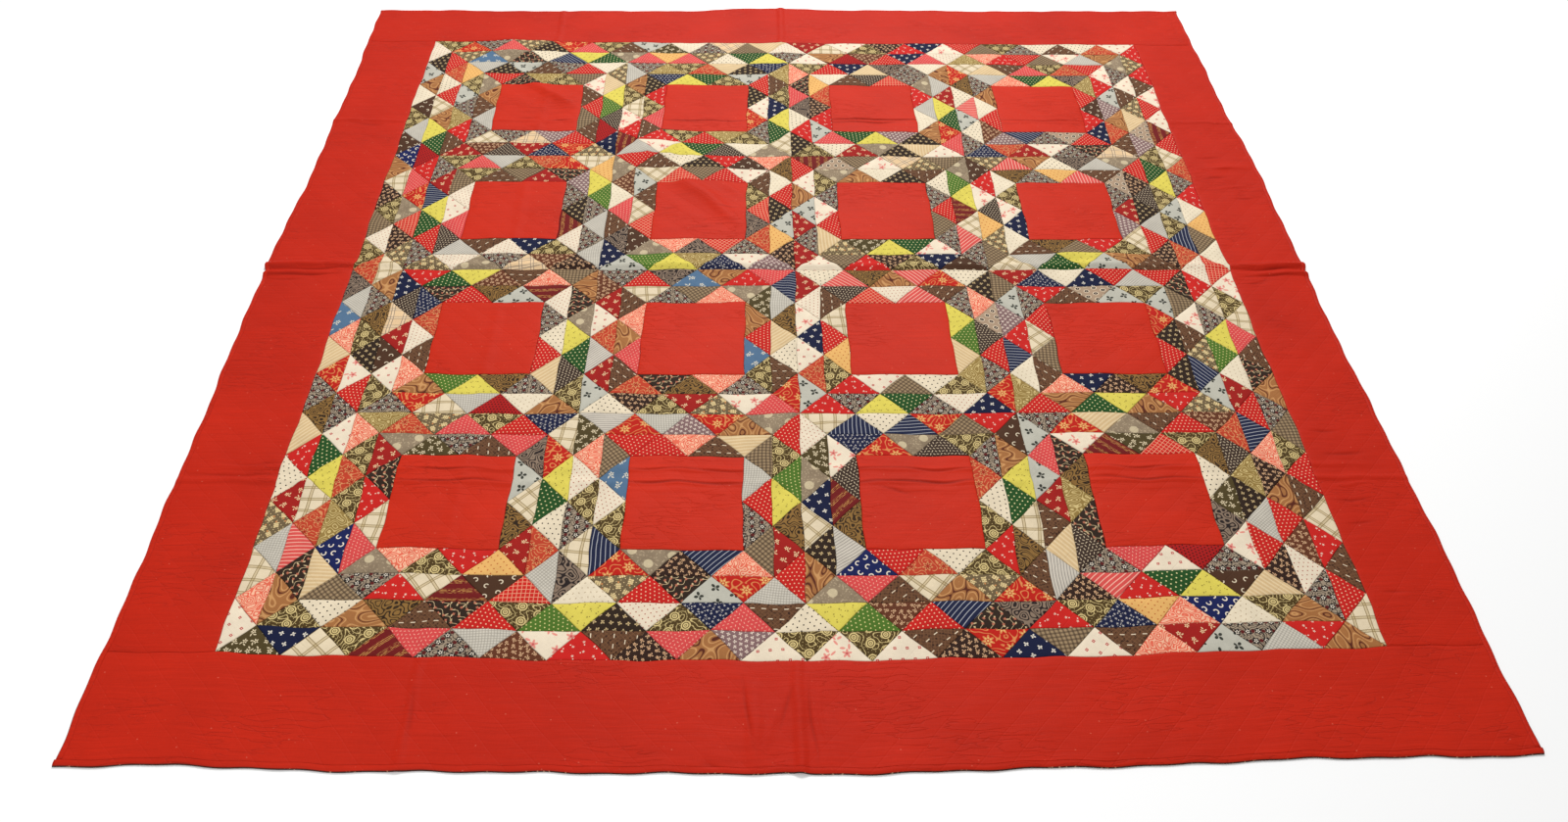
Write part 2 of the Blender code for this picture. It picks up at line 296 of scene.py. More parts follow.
@dataclass(frozen=True)
class Lie:
    """How the quilt lies on the floor: where each point of the layout is in the room."""

    sides: tuple[Width, ...] = (
        Width(-3.0, 3.24, 2.84),
        Width(4.5, 3.16, 2.86),
        Width(12.0, 3.20, 3.06),
        Width(17.7, 3.40, 2.98),
        Width(23.0, 3.32, 2.96),
        Width(29.5, 3.24, 3.06),
        Width(39.0, 3.22, 3.06),
    )
    ends: tuple[Width, ...] = (
        Width(-3.0, 3.02, 3.48),
        Width(6.0, 3.02, 3.52),
        Width(12.0, 3.10, 3.44),
        Width(17.0, 3.42, 3.50),
        Width(22.0, 3.28, 3.46),
        Width(30.0, 3.26, 3.42),
        Width(39.0, 3.38, 3.50),
    )
    gap: float = 0.00015

    @staticmethod
    def eased(rows: Sequence[Width], at: np.ndarray, second: bool) -> np.ndarray:
        """A border's width between the rows of its table, eased from row to row.

        Args:
            rows: The table.
            at: Places along the side, in steps.
            second: Whether the side is the right or the near one.

        Returns:
            The widths, in steps.
        """
        places = np.array([row.at for row in rows])
        widths = np.array([row.second if second else row.first for row in rows])
        at = np.clip(at, places[0], places[-1])
        k = np.clip(np.searchsorted(places, at) - 1, 0, len(rows) - 2)
        share = (at - places[k]) / (places[k + 1] - places[k])
        share = share * share * (3 - 2 * share)
        return widths[k] * (1 - share) + widths[k + 1] * share

    @staticmethod
    def stretched(distance: np.ndarray, width: np.ndarray) -> np.ndarray:
        """How far a border point lies from the patchwork, where the border is this wide."""
        within = np.minimum(distance, BORDER) * width / BORDER
        return within + np.maximum(distance - BORDER, 0.0)

    @staticmethod
    def wander(u: np.ndarray, v: np.ndarray) -> tuple[np.ndarray, np.ndarray]:
        """How far hand sewing lets the seams stray: a few slow waves laid over one another.

        The left and right edges are drawn in besides by a bell where the middle crease meets them.
        """
        x = 0.0013 * np.sin(0.83 * v + 0.31 * u) + 0.0010 * np.sin(1.91 * v - 0.57 * u + 1.3)
        y = 0.0013 * np.sin(0.77 * u - 0.29 * v + 0.7) + 0.0011 * np.sin(1.73 * u + 0.49 * v + 2.1)
        left, right = np.clip((-u - 1.0) / 2.4, 0, 1), np.clip((u - FIELD - 1.0) / 2.4, 0, 1)
        x = x + 0.0045 * (left - right) * np.exp(-(((v - 18.10) / 0.13) ** 2))
        return x + 0.0008 * np.sin(4.1 * v + 1.7 * u), y + 0.0008 * np.sin(3.7 * u - 1.9 * v)

    def middle(self) -> tuple[float, float]:
        """The row frame's origin in the layout's metres, found from two of the solids' boxes."""
        low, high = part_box("square_r3_c3")
        across = (FRAME + 2 * BLOCK + BLOCK / 2) * STEP - (low[0] + high[0]) / 2
        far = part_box("square_r1_c1")[1][1]
        return across, -(FRAME + 2) * STEP - self.gap - far

    def ground(self, u: np.ndarray, v: np.ndarray) -> tuple[np.ndarray, np.ndarray]:
        """Where points of the layout lie on the floor.

        The border is stretched to its own width there, the patchwork's near edge sags by half a
        sine wave, and everything strays a little by wander.

        Args:
            u: Places across the quilt, in steps.
            v: Places along it, in steps.

        Returns:
            x and y in the row frame, in metres.
        """
        x, y = u.copy(), v.copy()
        x = np.where(u < 0, -self.stretched(-u, self.eased(self.sides, v, False)), x)
        right = FIELD + self.stretched(u - FIELD, self.eased(self.sides, v, True))
        x = np.where(u > FIELD, right, x)
        y = np.where(v < 0, -self.stretched(-v, self.eased(self.ends, u, False)), y)
        near = FIELD + self.stretched(v - FIELD, self.eased(self.ends, u, True))
        y = np.where(v > FIELD, near, y)
        across, down = np.clip(u / FIELD, 0, 1), np.clip(v / FIELD, 0, 1)
        sag = FIELD_SAG * np.sin(math.pi * across) * down**4
        stray_x, stray_y = self.wander(u, v)
        centre_x, centre_y = self.middle()
        return x * STEP - centre_x + stray_x, -y * STEP - sag - centre_y + stray_y

    def lift(self, u: np.ndarray, v: np.ndarray) -> np.ndarray:
        """Height of the underside over the floor: the highest crease, and the humps on top."""
        ridge = np.max([crease.height(u, v) for crease in CREASES], axis=0)
        return ridge + np.sum([hump.rise(u, v) for hump in HUMPS], axis=0)

    def quilting(self, u: np.ndarray, v: np.ndarray) -> np.ndarray:
        """Rise of the face between rows of quilting, which cross only in the near middle.

        Each family of rows is the size of a sine, 0 on every row. The rows that rise to the right
        show in the near right half, the others in the rest.
        """
        rising = np.abs(np.sin(math.pi * (u + v)))
        falling = np.abs(np.sin(math.pi * (u - v)))
        right = 1 / (1 + np.exp(-(u + 0.6 * v - 40) / 2.5))
        return 0.0004 * (right * rising + (1 - right) * falling)

    def painted_crease_shade(self, u: np.ndarray, v: np.ndarray) -> np.ndarray:
        """How deep in a narrow trough a point lies, 1 at 2.6 mm, where little light comes in: the amount of
        shade painted into the red cloth's colour there.
        """
        narrow = [w.rise(u, v) for w in WRINKLES if w.height < 0 and w.width < 0.1]
        return np.clip(-np.min(narrow, axis=0) / 0.0026, 0.0, 1.0)

    def face(
        self, u: np.ndarray, v: np.ndarray, seam: np.ndarray, quilted: float = 1.0
    ) -> np.ndarray:
        """Height of the upper face over the floor.

        Args:
            u: Places across the quilt, in steps.
            v: Places along it, in steps.
            seam: Distance from the nearest seam, in metres.
            quilted: How much of the quilting's rise the mesh is fine enough to carry.

        Returns:
            The lift, the thickness, the puff between the seams, which rises by one minus a falling
            exponential of the distance from a seam, the quilting and the wrinkles.
        """
        puff = 0.0006 * (1 - np.exp(-seam / 0.0016)) + 0.0006 * (1 - np.exp(-seam / 0.012))
        ripples = 0.00035 * np.sin(2.9 * u + 1.1 * v) * np.sin(2.3 * v - 0.7 * u + 0.9)
        wrinkles = np.sum([wrinkle.rise(u, v) for wrinkle in WRINKLES], axis=0)
        thick = THICKNESS - 0.0008 + puff + ripples + wrinkles + quilted * self.quilting(u, v)
        return self.lift(u, v) + np.maximum(thick, 0.0010)


LIE = Lie()


# Shaders


class Wire:
    """One number of a shader. Sums of wires read as sums of plain numbers do."""

    def __init__(self, tree: bpy.types.NodeTree, socket: bpy.types.NodeSocket) -> None:
        """Holds one output of a node."""
        self.tree = tree
        self.socket = socket

    def math(self, operation: str, *others: "Wire | float", clamp: bool = False) -> "Wire":
        """A Math node of this wire and others.

        Args:
            operation: The node's operation.
            others: What goes in after this wire.
            clamp: Whether the result is held between 0 and 1.

        Returns:
            The node's output.
        """
        node = self.tree.nodes.new("ShaderNodeMath")
        node.operation = operation
        node.use_clamp = clamp
        for slot, value in zip(node.inputs, (self, *others)):
            plug(self.tree, value, slot)
        return Wire(self.tree, node.outputs[0])

    def __add__(self, other: "Wire | float") -> "Wire":
        """Sum."""
        return self.math("ADD", other)

    def __sub__(self, other: "Wire | float") -> "Wire":
        """Difference."""
        return self.math("SUBTRACT", other)

    def __mul__(self, other: "Wire | float") -> "Wire":
        """Product."""
        return self.math("MULTIPLY", other)

    def __truediv__(self, other: "Wire | float") -> "Wire":
        """Quotient."""
        return self.math("DIVIDE", other)

    def size(self) -> "Wire":
        """The number without its sign."""
        return self.math("ABSOLUTE")

    def sine(self) -> "Wire":
        """Its sine."""
        return self.math("SINE")

    def floor(self) -> "Wire":
        """The whole number under it."""
        return self.math("FLOOR")

    def least(self, other: "Wire | float") -> "Wire":
        """The lesser of two."""
        return self.math("MINIMUM", other)

    def most(self, other: "Wire | float") -> "Wire":
        """The greater of two."""
        return self.math("MAXIMUM", other)

    def under(self, edge: "Wire | float", soft: float) -> "Wire":
        """1 where the number is under an edge and 0 where it is over, soft over a width."""
        return (self * -1.0 + edge).math("MULTIPLY_ADD", 1 / soft, 0.5, clamp=True)

    def wrapped(self, every: float) -> "Wire":
        """Signed distance from the nearest of lines that come once in every so much."""
        return self.math("WRAP", every / 2, -every / 2)


def plug(tree: bpy.types.NodeTree, value: "Wire | float", slot: bpy.types.NodeSocket) -> None:
    """Links a wire to a socket, or sets a plain number on it."""
    if isinstance(value, Wire):
        tree.links.new(value.socket, slot)
    else:
        slot.default_value = value


def noise(x: Wire, y: Wire, stretch_x: float, stretch_y: float, detail: float = 1.0) -> Wire:
    """Soft noise around 0.5 whose grains are 1 / stretch long each way, in metres."""
    tree = x.tree
    joined = tree.nodes.new("ShaderNodeCombineXYZ")
    plug(tree, x * stretch_x, joined.inputs[0])
    plug(tree, y * stretch_y, joined.inputs[1])
    node = tree.nodes.new("ShaderNodeTexNoise")
    node.noise_dimensions = "2D"
    node.inputs["Scale"].default_value = 1.0
    node.inputs["Detail"].default_value = detail
    tree.links.new(joined.outputs[0], node.inputs["Vector"])
    return Wire(tree, node.outputs[0])


def chance(x: Wire, y: Wire) -> Wire:
    """A number from 0 to 1 drawn anew for each pair of whole numbers."""
    tree = x.tree
    joined = tree.nodes.new("ShaderNodeCombineXYZ")
    plug(tree, x, joined.inputs[0])
    plug(tree, y, joined.inputs[1])
    node = tree.nodes.new("ShaderNodeTexWhiteNoise")
    node.noise_dimensions = "2D"
    tree.links.new(joined.outputs[0], node.inputs["Vector"])
    return Wire(tree, node.outputs["Value"])


@dataclass(frozen=True)
class Motif:
    """One spot of a repeat: the place in it, in metres from its middle, and the spot's own draw."""

    p: Wire
    q: Wire
    draw: Wire

    def radius(self) -> Wire:
        """Distance from the spot's middle."""
        return (self.p * self.p + self.q * self.q).math("SQRT")

    def disc(self, radius: float, soft: float = 0.0003) -> Wire:
        """A round dot."""
        return self.radius().under(radius, soft)

    def ring(self, radius: float, width: float) -> Wire:
        """A round line."""
        return (self.radius() - radius).size().under(width / 2, 0.0003)

    def box(self, half_p: float, half_q: float) -> Wire:
        """A small upright block."""
        return (self.p.size() - half_p).most(self.q.size() - half_q).under(0.0, 0.0003)

    def petals(self, radius: float, count: int, depth: float, soft: float = 0.0004) -> Wire:
        """A flower: a disc whose rim goes in and out by the cosine of count times the angle."""
        angle = self.q.math("ARCTAN2", self.p)
        rim = (angle * float(count)).math("COSINE") * (radius * depth) + radius * (1 - depth)
        return self.radius().under(rim, soft)

    def leaf(self, at_p: float, at_q: float, half_p: float, half_q: float) -> Wire:
        """An oval with its own place in the motif."""
        p, q = (self.p - at_p) / half_p, (self.q - at_q) / half_q
        return (p * p + q * q).under(1.0, 0.25)


@dataclass(frozen=True)
class Ground:
    """The cloth that a print lies on: the place on it, in metres."""

    x: Wire
    y: Wire

    def repeat(self, pitch: float, turned: bool = False, tall: float = 1.0) -> Motif:
        """A half-drop repeat, each second row moved on by half a pitch.

        Args:
            pitch: Distance between spots in a row, in metres.
            turned: Whether each spot is turned by its own draw.
            tall: Distance between rows, in pitches.

        Returns:
            The spot around the place.
        """
        row = (self.y / (pitch * tall)).floor()
        shifted = self.x / pitch + row * 0.5
        column = shifted.floor()
        p = (shifted - column - 0.5) * pitch
        q = (self.y / (pitch * tall) - row - 0.5) * (pitch * tall)
        draw = chance(column, row)
        if turned:
            angle = draw * 6.2832
            c, s = angle.math("COSINE"), angle.sine()
            p, q = p * c - q * s, p * s + q * c
        return Motif(p, q, draw)

    def lines(self, pitch: float, width: float) -> Wire:
        """Straight lines that run up the cloth."""
        return self.x.wrapped(pitch).size().under(width / 2, 0.0003)

    def rows(self, pitch: float, width: float) -> Wire:
        """Straight lines that run across the cloth."""
        return self.y.wrapped(pitch).size().under(width / 2, 0.0003)

    def meander(self, pitch: float, width: float, turns: float = 5.0) -> Wire:
        """Curling lines: the places where soft noise passes evenly spaced values."""
        field_of_noise = noise(self.x, self.y, 1 / pitch, 1 / pitch, 0.0) * turns
        return field_of_noise.wrapped(1.0).size().under(width, 0.10)

    def speckle(self, pitch: float, share: float) -> Wire:
        """Small uneven specks that cover about this share of the cloth."""
        return (noise(self.x, self.y, 1 / pitch, 1 / pitch, 0.0) * -1.0).under(share - 0.72, 0.05)


# The printed cottons


class Tone(Enum):
    """How a cotton reads from across a room."""

    LIGHT = "light"
    DARK = "dark"
    BRIGHT = "bright"


@dataclass(frozen=True)
class Cotton:
    """One printed cotton of the scrap bag.

    ground, figure and accent are colours as seen on a screen, pitch and size are in millimetres,
    and share is how often the cotton is picked.
    """

    name: str
    bundle: str
    design: "Callable[[Ground, Cotton], Layers]"
    tone: Tone
    share: float
    pitch: float
    size: float
    ground: tuple[int, int, int]
    figure: tuple[int, int, int]
    accent: tuple[int, int, int] = (238, 234, 224)

    def lengths(self) -> tuple[float, float]:
        """The pitch and the size in metres."""
        return self.pitch / 1000, self.size / 1000


def dots(cloth: Ground, cotton: Cotton) -> Layers:
    """Pin dots in a half-drop repeat."""
    pitch, size = cotton.lengths()
    return [(cloth.repeat(pitch).disc(size / 2), cotton.figure)]


def stars(cloth: Ground, cotton: Cotton) -> Layers:
    """Small turned sprigs of five points with a speck beside each."""
    pitch, size = cotton.lengths()
    spot = cloth.repeat(pitch, turned=True)
    specks = spot.leaf(size * 0.9, size * 0.5, size * 0.22, size * 0.22)
    return [(spot.petals(size / 2, 5, 0.45).most(specks), cotton.figure)]


def blooms(cloth: Ground, cotton: Cotton) -> Layers:
    """Five-petalled flowers with leaves at their side and an eye."""
    pitch, size = cotton.lengths()
    spot = cloth.repeat(pitch, turned=True)
    leaves = spot.leaf(size * 0.75, size * 0.2, size * 0.32, size * 0.12)
    leaves = leaves.most(spot.leaf(size * 0.55, -size * 0.45, size * 0.13, size * 0.28))
    return [
        (leaves, cotton.figure),
        (spot.petals(size / 2, 5, 0.28), cotton.figure),
        (spot.disc(size * 0.13), cotton.accent),
    ]


def sprigs(cloth: Ground, cotton: Cotton) -> Layers:
    """Three or four separate oval leaves round a short stalk."""
    pitch, size = cotton.lengths()
    spot = cloth.repeat(pitch, turned=True)
    sprig = spot.leaf(size * 0.30, 0.0, size * 0.22, size * 0.15)
    for side in (-1, 1):
        sprig = sprig.most(spot.leaf(-size * 0.04, side * size * 0.27, size * 0.16, size * 0.20))
    sprig = sprig.most(spot.leaf(-size * 0.30, size * 0.06, size * 0.17, size * 0.11))
    return [(sprig.most(spot.box(size * 0.22, size * 0.025)), cotton.figure)]


def stripes(cloth: Ground, cotton: Cotton) -> Layers:
    """Even stripes."""
    pitch, size = cotton.lengths()
    return [(cloth.lines(pitch, size), cotton.figure)]


def grid(cloth: Ground, cotton: Cotton) -> Layers:
    """Thin lines both ways."""
    pitch, size = cotton.lengths()
    return [(cloth.lines(pitch, size).most(cloth.rows(pitch, size)), cotton.figure)]


def checks(cloth: Ground, cotton: Cotton) -> Layers:
    """A small woven check: two sets of stripes that add up where they cross."""
    pitch, size = cotton.lengths()
    return [
        (cloth.lines(pitch, size) * 0.6, cotton.figure),
        (cloth.rows(pitch, size) * 0.6, cotton.accent),
    ]


def plaid(cloth: Ground, cotton: Cotton) -> Layers:
    """Wide pale bands both ways, each between two thin lines."""
    pitch, size = cotton.lengths()
    thin = []
    for off in (-0.36, 0.36):
        side = Ground(cloth.x + size * off, cloth.y + size * off)
        thin.append(side.lines(pitch, size * 0.20).most(side.rows(pitch, size * 0.20)))
    return [
        (cloth.lines(pitch, size) * 0.45, cotton.figure),
        (cloth.rows(pitch, size) * 0.45, cotton.figure),
        (thin[0].most(thin[1]) * 0.7, cotton.accent),
    ]


def scrolls(cloth: Ground, cotton: Cotton) -> Layers:
    """Curling tendrils with round rosettes among them."""
    pitch, size = cotton.lengths()
    spot = cloth.repeat(pitch * 1.9)
    inside = spot.disc(pitch * 0.60)
    rosette = spot.ring(pitch * 0.50, size).most(spot.ring(pitch * 0.24, size))
    return [
        (cloth.meander(pitch * 1.4, 0.07, 4.2), cotton.figure),
        (cloth.repeat(pitch * 0.43).disc(size * 0.30), cotton.figure),
        (inside, cotton.ground),
        (rosette.most(spot.petals(pitch * 0.13, 6, 0.3)), cotton.figure),
    ]


def loops(cloth: Ground, cotton: Cotton) -> Layers:
    """Close curling lines, which cover more of the cloth the larger their size is."""
    pitch, size = cotton.lengths()
    return [(cloth.meander(pitch, size * 100, 5.0), cotton.figure)]


def wavy_bands(cloth: Ground, cotton: Cotton) -> Layers:
    """Nested curls, pale and dark by turns: two sets of values that the same noise passes."""
    pitch, _ = cotton.lengths()
    drawn_out = noise(cloth.x, cloth.y, 1 / pitch, 0.6 / pitch, 0.0) * 6.0
    pale = drawn_out.wrapped(1.0).size().under(0.11, 0.10)
    dark = (drawn_out * 0.5 + 0.25).wrapped(1.0).size().under(0.060, 0.05)
    return [(pale, cotton.figure), (dark, cotton.accent)]


def mottle(cloth: Ground, cotton: Cotton) -> Layers:
    """Clouds of fine specks with a pale disc here and there."""
    pitch, size = cotton.lengths()
    spot = cloth.repeat(pitch)
    return [
        (cloth.speckle(pitch * 0.09, 0.40) * 0.7, cotton.figure),
        (noise(cloth.x, cloth.y, 2 / pitch, 2 / pitch).under(0.45, 0.2) * 0.5, cotton.figure),
        (spot.disc(size / 2, 0.001) * 0.75, cotton.accent),
    ]


def eyes(cloth: Ground, cotton: Cotton) -> Layers:
    """Dark ovals with a pale rim."""
    pitch, size = cotton.lengths()
    spot = cloth.repeat(pitch)
    return [
        (spot.leaf(0.0, 0.0, size * 0.5, size * 0.62), cotton.accent),
        (spot.leaf(0.0, 0.0, size * 0.36, size * 0.46), cotton.figure),
        (spot.disc(size * 0.10), cotton.accent),
    ]


def ticks(cloth: Ground, cotton: Cotton) -> Layers:
    """Short strokes, each turned its own way."""
    pitch, size = cotton.lengths()
    return [(cloth.repeat(pitch, turned=True).box(size / 2, size * 0.17), cotton.figure)]


def bars(cloth: Ground, cotton: Cotton) -> Layers:
    """A faint slanted lattice with short pale bars in rows."""
    pitch, size = cotton.lengths()
    slant = Ground(cloth.x + cloth.y, cloth.x - cloth.y)
    lattice = slant.lines(pitch * 0.42, 0.0013).most(slant.rows(pitch * 0.42, 0.0013))
    spot = cloth.repeat(pitch)
    return [
        (cloth.speckle(pitch * 0.25, 0.35) * 0.5, cotton.accent),
        (lattice * 0.75, cotton.accent),
        (spot.box(size / 2, size * 0.13), cotton.figure),
        (spot.leaf(size * 0.6, 0.0, size * 0.16, size * 0.16), cotton.figure),
    ]


def broken_lines(cloth: Ground, cotton: Cotton) -> Layers:
    """Fine lines that come and go, in groups."""
    pitch, size = cotton.lengths()
    group = cloth.x.wrapped(pitch).size().under(pitch * 0.22, 0.001)
    dashes = noise(cloth.x, cloth.y, 900.0, 160.0, 0.0).under(0.52, 0.08)
    return [(cloth.lines(size * 2.2, size) * group * dashes, cotton.figure)]


def garden(cloth: Ground, cotton: Cotton) -> Layers:
    """Large turned flowers of two colours over curling leaves."""
    pitch, size = cotton.lengths()
    spot = cloth.repeat(pitch, turned=True)
    return [
        (cloth.meander(pitch * 0.6, 0.11, 4.0), cotton.figure),
        (spot.disc(size * 0.56), cotton.ground),
        (spot.petals(size / 2, 7, 0.25), cotton.figure),
        (spot.petals(size * 0.34, 7, 0.35), cotton.accent),
        (spot.ring(size * 0.12, size * 0.07), cotton.ground),
    ]


def horseshoes(cloth: Ground, cotton: Cotton) -> Layers:
    """Open rings, each turned its own way."""
    pitch, size = cotton.lengths()
    spot = cloth.repeat(pitch, turned=True)
    mouth = spot.p.under(size * 0.22, 0.0004)
    return [(spot.ring(size / 2, size * 0.26) * mouth, cotton.figure)]


def vine(cloth: Ground, cotton: Cotton) -> Layers:
    """A thin stem that sways up the cloth, with buds and leaves along it."""
    pitch, size = cotton.lengths()
    sway = Ground(cloth.x + (cloth.y * (6.2832 / (pitch * 1.2))).sine() * (pitch * 0.16), cloth.y)
    spot = sway.repeat(pitch, turned=True, tall=0.6)
    leaves = spot.leaf(size * 0.5, size * 0.2, size * 0.35, size * 0.14)
    return [
        (sway.lines(pitch, size * 0.12).most(leaves), cotton.figure),
        (spot.petals(size * 0.34, 5, 0.25), cotton.accent),
    ]


def squares(cloth: Ground, cotton: Cotton) -> Layers:
    """Small blocks with a pale middle."""
    pitch, size = cotton.lengths()
    spot = cloth.repeat(pitch)
    return [
        (spot.box(size / 2, size / 2), cotton.figure),
        (spot.box(size * 0.16, size * 0.16), cotton.accent),
    ]


def leaf_sprays(cloth: Ground, cotton: Cotton) -> Layers:
    """Sprays of small paired leaves in two colours."""
    pitch, size = cotton.lengths()
    spot = cloth.repeat(pitch, turned=True)
    spray = spot.leaf(0.0, 0.0, size * 0.5, size * 0.06)
    for at in (-0.36, -0.06, 0.24):
        for side in (-1, 1):
            spray = spray.most(spot.leaf(size * at, side * size * 0.2, size * 0.13, size * 0.15))
    other = spot.leaf(size * 0.55, 0.0, size * 0.15, size * 0.12)
    specks = cloth.repeat(pitch * 0.37, turned=True).disc(size * 0.07)
    return [(spray.most(specks), cotton.figure), (other, cotton.accent)]


def daisies(cloth: Ground, cotton: Cotton) -> Layers:
    """Dark flowers with pale eyes and round dark dots between them, over faint twigs."""
    pitch, size = cotton.lengths()
    spot = cloth.repeat(pitch, turned=True)
    dark, pale = (34, 30, 34), (232, 228, 220)
    between = Ground(cloth.x + pitch / 2, cloth.y).repeat(pitch, turned=True)
    return [
        (cloth.meander(pitch * 0.62, 0.16, 4.0), cotton.figure),
        (spot.petals(size * 0.62, 6, 0.16), dark),
        (spot.petals(size * 0.36, 5, 0.24), pale),
        (spot.disc(size * 0.14), dark),
        (between.disc(size * 0.30), cotton.accent),
        (between.leaf(size * 0.5, size * 0.2, size * 0.24, size * 0.12), dark),
    ]


